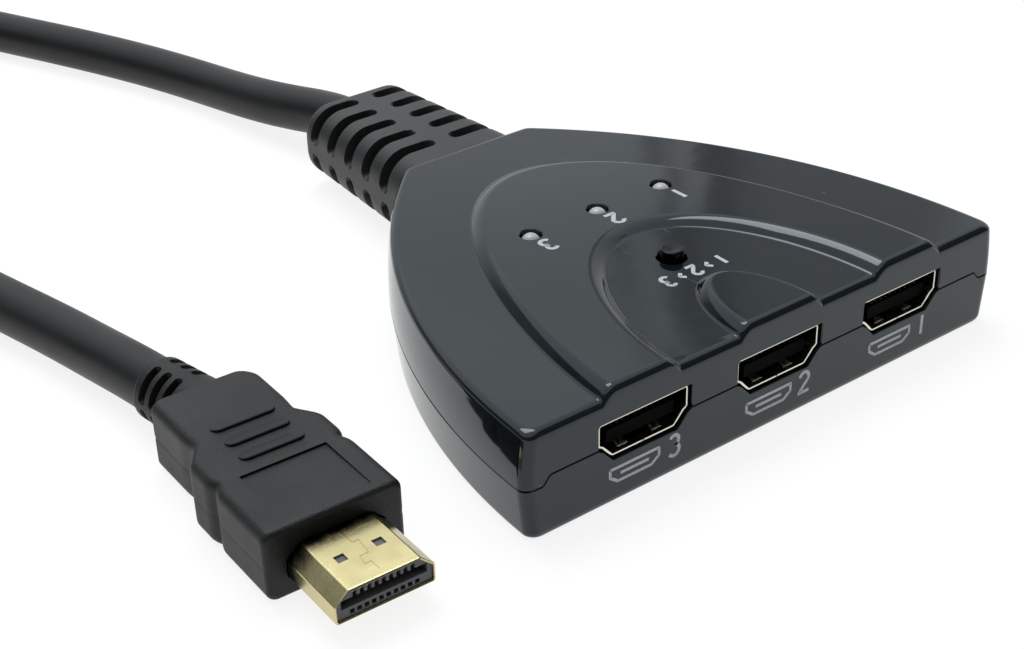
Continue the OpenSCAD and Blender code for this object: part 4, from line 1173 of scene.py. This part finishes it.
def makeGilt(v):
    # pale gold, darkened in blotches where blotch x share + reach passes the cut; reach grows towards the
    # grip
    mat = newFinish("giltFinish", v["look"])
    tree = mat.node_tree
    skin = tree.nodes["Principled BSDF"]
    place = addNode(tree, "ShaderNodeTexCoord")
    aim = addNode(tree, "ShaderNodeMapping")
    start = plugFront * mm
    aim.inputs["Location"].default_value = (0, -start[1], 0)
    split = addNode(tree, "ShaderNodeSeparateXYZ")
    blotch = addNode(tree, "ShaderNodeTexNoise", Scale=v["blotch"], Detail=5.0, Roughness=0.7)
    reach = addNode(tree, "ShaderNodeMapRange", From_Min=v["gripDarkeningFrom"], From_Max=v["gripDarkeningTo"])
    mix = addNode(tree, "ShaderNodeMath", operation="MULTIPLY_ADD")
    mix.inputs[1].default_value = v["blotchShare"]
    cut = addNode(tree, "ShaderNodeMapRange", From_Min=v["cut"][0], From_Max=v["cut"][1])
    gripDarkening = addNode(tree, "ShaderNodeMix", data_type="RGBA")
    gripDarkening.inputs[7].default_value = (*v["gripDarkening"], 1)
    clean = skin.inputs["Base Color"].links[0].from_socket
    wire(tree, [
        (place.outputs["Object"], aim.inputs["Vector"]),
        (place.outputs["Object"], blotch.inputs["Vector"]),
        (aim.outputs["Vector"], split.inputs["Vector"]),
        (split.outputs["Y"], reach.inputs["Value"]),
        (blotch.outputs["Fac"], mix.inputs[0]),
        (reach.outputs["Result"], mix.inputs[2]),
        (mix.outputs["Value"], cut.inputs["Value"]),
        (cut.outputs["Result"], gripDarkening.inputs[0]),
        (clean, gripDarkening.inputs[6]),
        (gripDarkening.outputs[2], skin.inputs["Base Color"]),
    ])
    return mat


insert = dict(
    set=0.35, play=0.02, bend=0.25, mouthX=5.95, mouthLow=-0.55, mouthHigh=0.75, deep=8.5,
    slit=0.58, slitTop=1.5, hole=0.66, holeZ=-1.3, holeDeep=6.0, upper=9, lower=10, pitch=1.0,
)
tips = dict(set=0.7, shorter=1.0, under=0.25, dip=0.75, dipAt=0.08, dipWide=0.12, half=0.17, sheet=0.15)


def inRow(count, pitch):
    # places across of a centred row
    return (np.arange(count) - (count - 1) / 2) * pitch


def makeInsert(v):
    # dark block in the plug: mouth, comb of slits above it and a row of square holes below
    length = plugReach["out"] + plugReach["inside"]
    block = plugPrism("plugInsert", plugOutline(-plugShell["sheet"] - v["play"], v["bend"]), v["set"], length)
    cuts = [plugBox("mouth", (-v["mouthX"], -1, v["mouthLow"]), (v["mouthX"], v["deep"], v["mouthHigh"]))]
    e = v["slit"] / 2
    for k, x in enumerate(inRow(v["upper"], v["pitch"])):
        foot = v["mouthHigh"] - 0.1
        cuts.append(plugBox(f"slit{k}", (x - e, -1, foot), (x + e, v["deep"], v["slitTop"])))
    h = v["hole"] / 2
    for k, x in enumerate(inRow(v["lower"], v["pitch"])):
        cuts.append(plugBox(f"hole{k}", (x - h, -1, v["holeZ"] - h), (x + h, v["holeDeep"], v["holeZ"] + h)))
    carve(block, cuts)
    smooth(block, 30)
    return dress(block, finishes["insert"], "plug_insert", "housing", "plug_insulator")


def makeTips(v, p):
    # spring contacts in the comb: strips that dip towards the mouth near their tips
    parts = []
    t = np.linspace(0, 1, 10)
    y = v["set"] + p["set"] + t * (v["deep"] - p["shorter"])
    z = v["slitTop"] - p["under"] - p["dip"] * np.exp(-((t - p["dipAt"]) / p["dipWide"]) ** 2)
    section = ((-1, 0), (1, 0), (1, p["sheet"]), (-1, p["sheet"]))
    for x in inRow(v["upper"], v["pitch"]):
        grid = np.stack([np.column_stack([x + s * p["half"] + 0 * t, y, z + dz]) for s, dz in section], 1)
        parts.append(plugPart(gridPart(grid, ring=True, caps=True)))
    piece = makePiece("plugTips", parts)
    smooth(piece, 40, flat=False)
    return dress(piece, finishes["contact"], "contact_gold", "housing", "plug_contacts")


gripPiece = makeGrip(grip, tail)
shellPiece = makeShell(plugShell)
insertPiece = makeInsert(insert)
tipsPiece = makeTips(insert, tips)
print("plug made")


# nodes that keep their solids
nodeFinish = dict(
    case_screws="steel", circuit_board="board", lamp_leads="tin", switch_base="insulator",
    switch_frame="steel",
    switch_pins="tin", switching_chip="insulator", chip_leads="tin", capacitors="ceramic",
    resistors="insulator", lead_wires="wires", plug_core="inner",
)
nodeFinish.update({f"socket_tongue_{k}": "tongue" for k in (1, 2, 3)})
nodeFinish.update({f"socket_contacts_{k}": "contact" for k in (1, 2, 3)})
for name, finish in nodeFinish.items():
    mesh = nodes[name].data
    mesh.materials.clear()
    mesh.materials.append(finishes[finish])


# printed marks: plain figures and generic signs as thin ribbons
marks = dict(
    high=0.025, lampFigure=3.0, lampStroke=0.66, lampGap=4.2, selectFigure=2.5, selectStroke=0.58,
    selectGap=3.6, selectPitch=2.5, portFigure=3.2, portStroke=0.54, portZ=4.5,
    portSignX=-1.9, portFigureX=4.9, portSignStroke=0.8, weld=0.0005,
)


def figureStrokes(sign):
    # strokes of a plain figure in a box one unit high, with its foot at 0
    if sign == 1:
        return [np.array([(0.0, 1.0), (0.0, 0.0)])]
    if sign == 2:
        bow = arc((0.0, 0.72), 0.27, 165, -25, 16)
        return [np.vstack([bow, [(-0.24, 0.06)]]), np.array([(-0.34, 0.0), (0.32, 0.0)])]
    if sign == 3:
        return [arc((0.0, 0.75), 0.24, 150, -90, 16), arc((0.0, 0.27), 0.28, 90, -150, 18)]
    return [np.array([(-0.12, 0.78), (0.14, 0.5), (-0.12, 0.22)])]


def ribbon(path, width, high):
    # a flat closed strip along a path in its own plane, as x, y and height
    d = np.gradient(path, axis=0)
    d /= np.linalg.norm(d, axis=1)[:, None]
    n = np.stack([-d[:, 1], d[:, 0]], -1) * width / 2
    rows = [(path + n, high), (path - n, high), (path - n, -high), (path + n, -high)]
    grid = np.stack([np.column_stack([p, np.full(len(p), z)]) for p, z in rows], 1)
    return gridPart(grid, ring=True, caps=True)


def dense(path, gap=0.08):
    # extra points on a path so that its corners stay crisp
    n = max(2, int(np.linalg.norm(np.diff(path, axis=0), axis=1).sum() / gap))
    run = np.concatenate([[0], np.cumsum(np.linalg.norm(np.diff(path, axis=0), axis=1))])
    share = np.unique(np.concatenate([np.linspace(0, 1, n), run / run[-1]]))
    return placedAlong(path, share)


def placeMark(strokes, size, width, origin, right, up, out):
    # ribbons of a mark, set on a surface by its origin and three directions
    parts = []
    for s in strokes:
        points, faces = ribbon(dense(s * size), width, marks["high"])
        parts.append((origin + points[:, :1] * right + points[:, 1:2] * up + points[:, 2:] * out, faces))
    return parts


def makeMarks(v):
    # figures beside the lamps and the button, set on the top, and a sign and a figure below each socket
    x, y, z = np.eye(3)
    lampParts = []

    def alongTop(heightAt, at):
        # direction of -Y along the top at that place
        return np.array([0, -1, heightAt(at - 1) - heightAt(at)])

    for k, p in enumerate(lampPlaces):
        y0 = p[1] - v["lampGap"] + v["lampFigure"] / 2
        origin = np.array([p[0], y0, plateauAt(y0)])
        up = alongTop(plateauAt, y0)
        lampParts += placeMark(figureStrokes(k + 1), v["lampFigure"], v["lampStroke"], origin, -x, up, z)
    y0 = buttonPlace[1] - v["selectGap"]
    for k, sign in enumerate((1, 0, 2, 0, 3)):
        origin = np.array([buttonPlace[0] + (2 - k) * v["selectPitch"], y0, sunkAt(y0)])
        up = alongTop(sunkAt, y0)
        lampParts += placeMark(figureStrokes(sign), v["selectFigure"], v["selectStroke"], origin, -x, up, z)
    portParts = []
    port = np.array([(-1.3, 0.76), (1.3, 0.76), (1.3, 0.4), (0.9, 0.1), (-0.9, 0.1), (-1.3, 0.4),
                     (-1.3, 0.76)])
    bar = np.array([(-0.75, 0.44), (0.75, 0.44)])
    for k, sx in enumerate(socketX):
        foot = v["portZ"] - v["portFigure"] / 2
        stroke = v["portStroke"] * v["portSignStroke"]
        origin = np.array([sx + v["portSignX"], frontY, foot])
        portParts += placeMark([port, bar], v["portFigure"], stroke, origin, x, z, -y)
        origin = np.array([sx + v["portFigureX"], frontY, foot])
        portParts += placeMark(figureStrokes(k + 1), v["portFigure"], v["portStroke"], origin, x, z, -y)
    sheets = (("topMarks", lampParts, "lampPrint"), ("frontMarks", portParts, "portPrint"))
    for name, parts, finish in sheets:
        piece = makePiece(name, parts, v["weld"])
        dress(piece, finishes[finish], "case_plastic", "housing")


makeMarks(marks)
print("marks made")


# stage: a white floor that keeps a soft shadow, a backdrop behind it, a dim room and a soft lamp above
stage = dict(
    floor=3.0, shadow=0.2, white=1.06, surround=0.84, cool=(0.955, 1.0, 1.035), room=0.14, ceiling=1.25,
    lift=0.3, tiltAzimuth=-10.0, above=(0.665, 0.72), backAzimuth=36.6, behind=(0.2, 0.5), stripeAzimuth=42.3,
    stripes=((-1.5, 0.3), (-1.05, 0.7), (-0.75, 0.92), (-0.5, 1.0), (-0.0145, 1.0), (-0.009, 0.55),
             (-0.005, 0.56), (0.003, 0.84), (0.0095, 1.0), (0.0145, 0.88), (0.0215, 0.42), (0.031, 0.36),
             (0.047, 0.52), (0.068, 0.62), (0.16, 0.62), (0.2, 1.0)),
    key=2.7, keySize=(0.455, 0.35), keyPlace=(0.0385, 0.28, 0.7),
)


def makeFloor(v):
    # white to the camera and in reflections, with a share of it lit so that shadows show
    e = v["floor"]
    mesh = bpy.data.meshes.new("floor")
    mesh.from_pydata([(-e, -e, -1e-5), (e, -e, -1e-5), (e, e, -1e-5), (-e, e, -1e-5)], [], [(0, 1, 2, 3)])
    floor = bpy.data.objects.new("floor", mesh)
    scene.collection.objects.link(floor)
    mat = bpy.data.materials.new("floorWhite")
    mat.use_nodes = True
    tree = mat.node_tree
    tree.nodes.clear()
    out = addNode(tree, "ShaderNodeOutputMaterial")
    lit = addNode(tree, "ShaderNodeBsdfDiffuse", Color=(0.86, 0.86, 0.86, 1))
    glow = addNode(tree, "ShaderNodeEmission", Strength=v["white"])
    path = addNode(tree, "ShaderNodeLightPath")
    direct = addNode(tree, "ShaderNodeMath", operation="MAXIMUM")
    seen = addNode(tree, "ShaderNodeMath", operation="MAXIMUM")
    part = addNode(tree, "ShaderNodeMath", operation="MULTIPLY")
    part.inputs[1].default_value = 1 - v["shadow"]
    mix = addNode(tree, "ShaderNodeMixShader")
    wire(tree, [
        (path.outputs["Is Camera Ray"], direct.inputs[0]),
        (path.outputs["Is Glossy Ray"], direct.inputs[1]),
        (direct.outputs[0], seen.inputs[0]),
        (path.outputs["Is Transmission Ray"], seen.inputs[1]),
        (seen.outputs[0], part.inputs[0]),
        (part.outputs[0], mix.inputs[0]),
        (lit.outputs[0], mix.inputs[1]),
        (glow.outputs[0], mix.inputs[2]),
        (mix.outputs[0], out.inputs["Surface"]),
    ])
    mesh.materials.append(mat)


def makeWorld(v):
    # level = lower (1 - above) + ceiling x above, where lower = max(room, behind x stripes) and the
    # ceiling starts lower at the left rear of the object than at its right front
    world = bpy.data.worlds.new("studio")
    scene.world = world
    world.use_nodes = True
    tree = world.node_tree
    tree.nodes.clear()
    out = addNode(tree, "ShaderNodeOutputWorld")
    glow = addNode(tree, "ShaderNodeBackground", Color=(*v["cool"], 1))
    place = addNode(tree, "ShaderNodeTexCoord")
    split = addNode(tree, "ShaderNodeSeparateXYZ")

    def between(limits):
        # 0 below the first limit, 1 past the second, smooth from one to the other
        low, high = limits
        kind = "ShaderNodeMapRange"
        return addNode(tree, kind, interpolation_type="SMOOTHSTEP", From_Min=low, From_Max=high)

    def towards(azimuth):
        # how far a direction points to that azimuth: x sin a + y cos a
        a = math.radians(azimuth)
        dot = addNode(tree, "ShaderNodeVectorMath", operation="DOT_PRODUCT")
        dot.inputs[1].default_value = (math.sin(a), math.cos(a), 0)
        tree.links.new(place.outputs["Generated"], dot.inputs[0])
        return dot.outputs["Value"]

    forward = towards(v["stripeAzimuth"])
    sideways = towards(v["stripeAzimuth"] + 90)
    ratio = addNode(tree, "ShaderNodeMath", operation="DIVIDE")
    low, high = v["stripes"][0][0], v["stripes"][-1][0]
    spread = addNode(tree, "ShaderNodeMapRange", From_Min=low, From_Max=high)
    bands = addNode(tree, "ShaderNodeValToRGB")
    stops = bands.color_ramp.elements
    while len(stops) < len(v["stripes"]):
        stops.new(0.5)
    for stop, (at, level) in zip(stops, v["stripes"]):
        stop.position = (at - low) / (high - low)
        stop.color = (level, level, level, 1)
    behind = between(v["behind"])
    above = between(v["above"])
    raisedBy = addNode(tree, "ShaderNodeMath", operation="MULTIPLY_ADD")
    raisedBy.inputs[1].default_value = v["lift"]
    backward = towards(v["backAzimuth"])
    tilted = towards(v["tiltAzimuth"])
    lit = addNode(tree, "ShaderNodeMath", operation="MULTIPLY")
    most = addNode(tree, "ShaderNodeMath", operation="MAXIMUM")
    most.inputs[1].default_value = v["room"]
    level = addNode(tree, "ShaderNodeMix", data_type="FLOAT")
    level.inputs[3].default_value = v["ceiling"]
    scaled = addNode(tree, "ShaderNodeMath", operation="MULTIPLY")
    scaled.inputs[1].default_value = v["surround"]
    wire(tree, [
        (place.outputs["Generated"], split.inputs["Vector"]),
        (sideways, ratio.inputs[0]),
        (forward, ratio.inputs[1]),
        (ratio.outputs[0], spread.inputs["Value"]),
        (spread.outputs["Result"], bands.inputs["Fac"]),
        (backward, behind.inputs["Value"]),
        (tilted, raisedBy.inputs[0]),
        (split.outputs["Z"], raisedBy.inputs[2]),
        (raisedBy.outputs[0], above.inputs["Value"]),
        (behind.outputs["Result"], lit.inputs[0]),
        (bands.outputs["Color"], lit.inputs[1]),
        (lit.outputs[0], most.inputs[0]),
        (above.outputs["Result"], level.inputs[0]),
        (most.outputs[0], level.inputs[2]),
        (level.outputs[0], scaled.inputs[0]),
        (scaled.outputs[0], glow.inputs["Strength"]),
        (glow.outputs[0], out.inputs["Surface"]),
    ])


def makeKey(v):
    # a rectangular lamp that faces the origin
    data = bpy.data.lights.new("softKey", "AREA")
    data.energy = v["key"]
    data.shape = "RECTANGLE"
    data.size, data.size_y = v["keySize"]
    lamp = bpy.data.objects.new("softKey", data)
    lamp.location = v["keyPlace"]
    lamp.rotation_euler = (-lamp.location).to_track_quat("-Z", "Y").to_euler()
    scene.collection.objects.link(lamp)


makeFloor(stage)
makeWorld(stage)
makeKey(stage)
print("stage made")
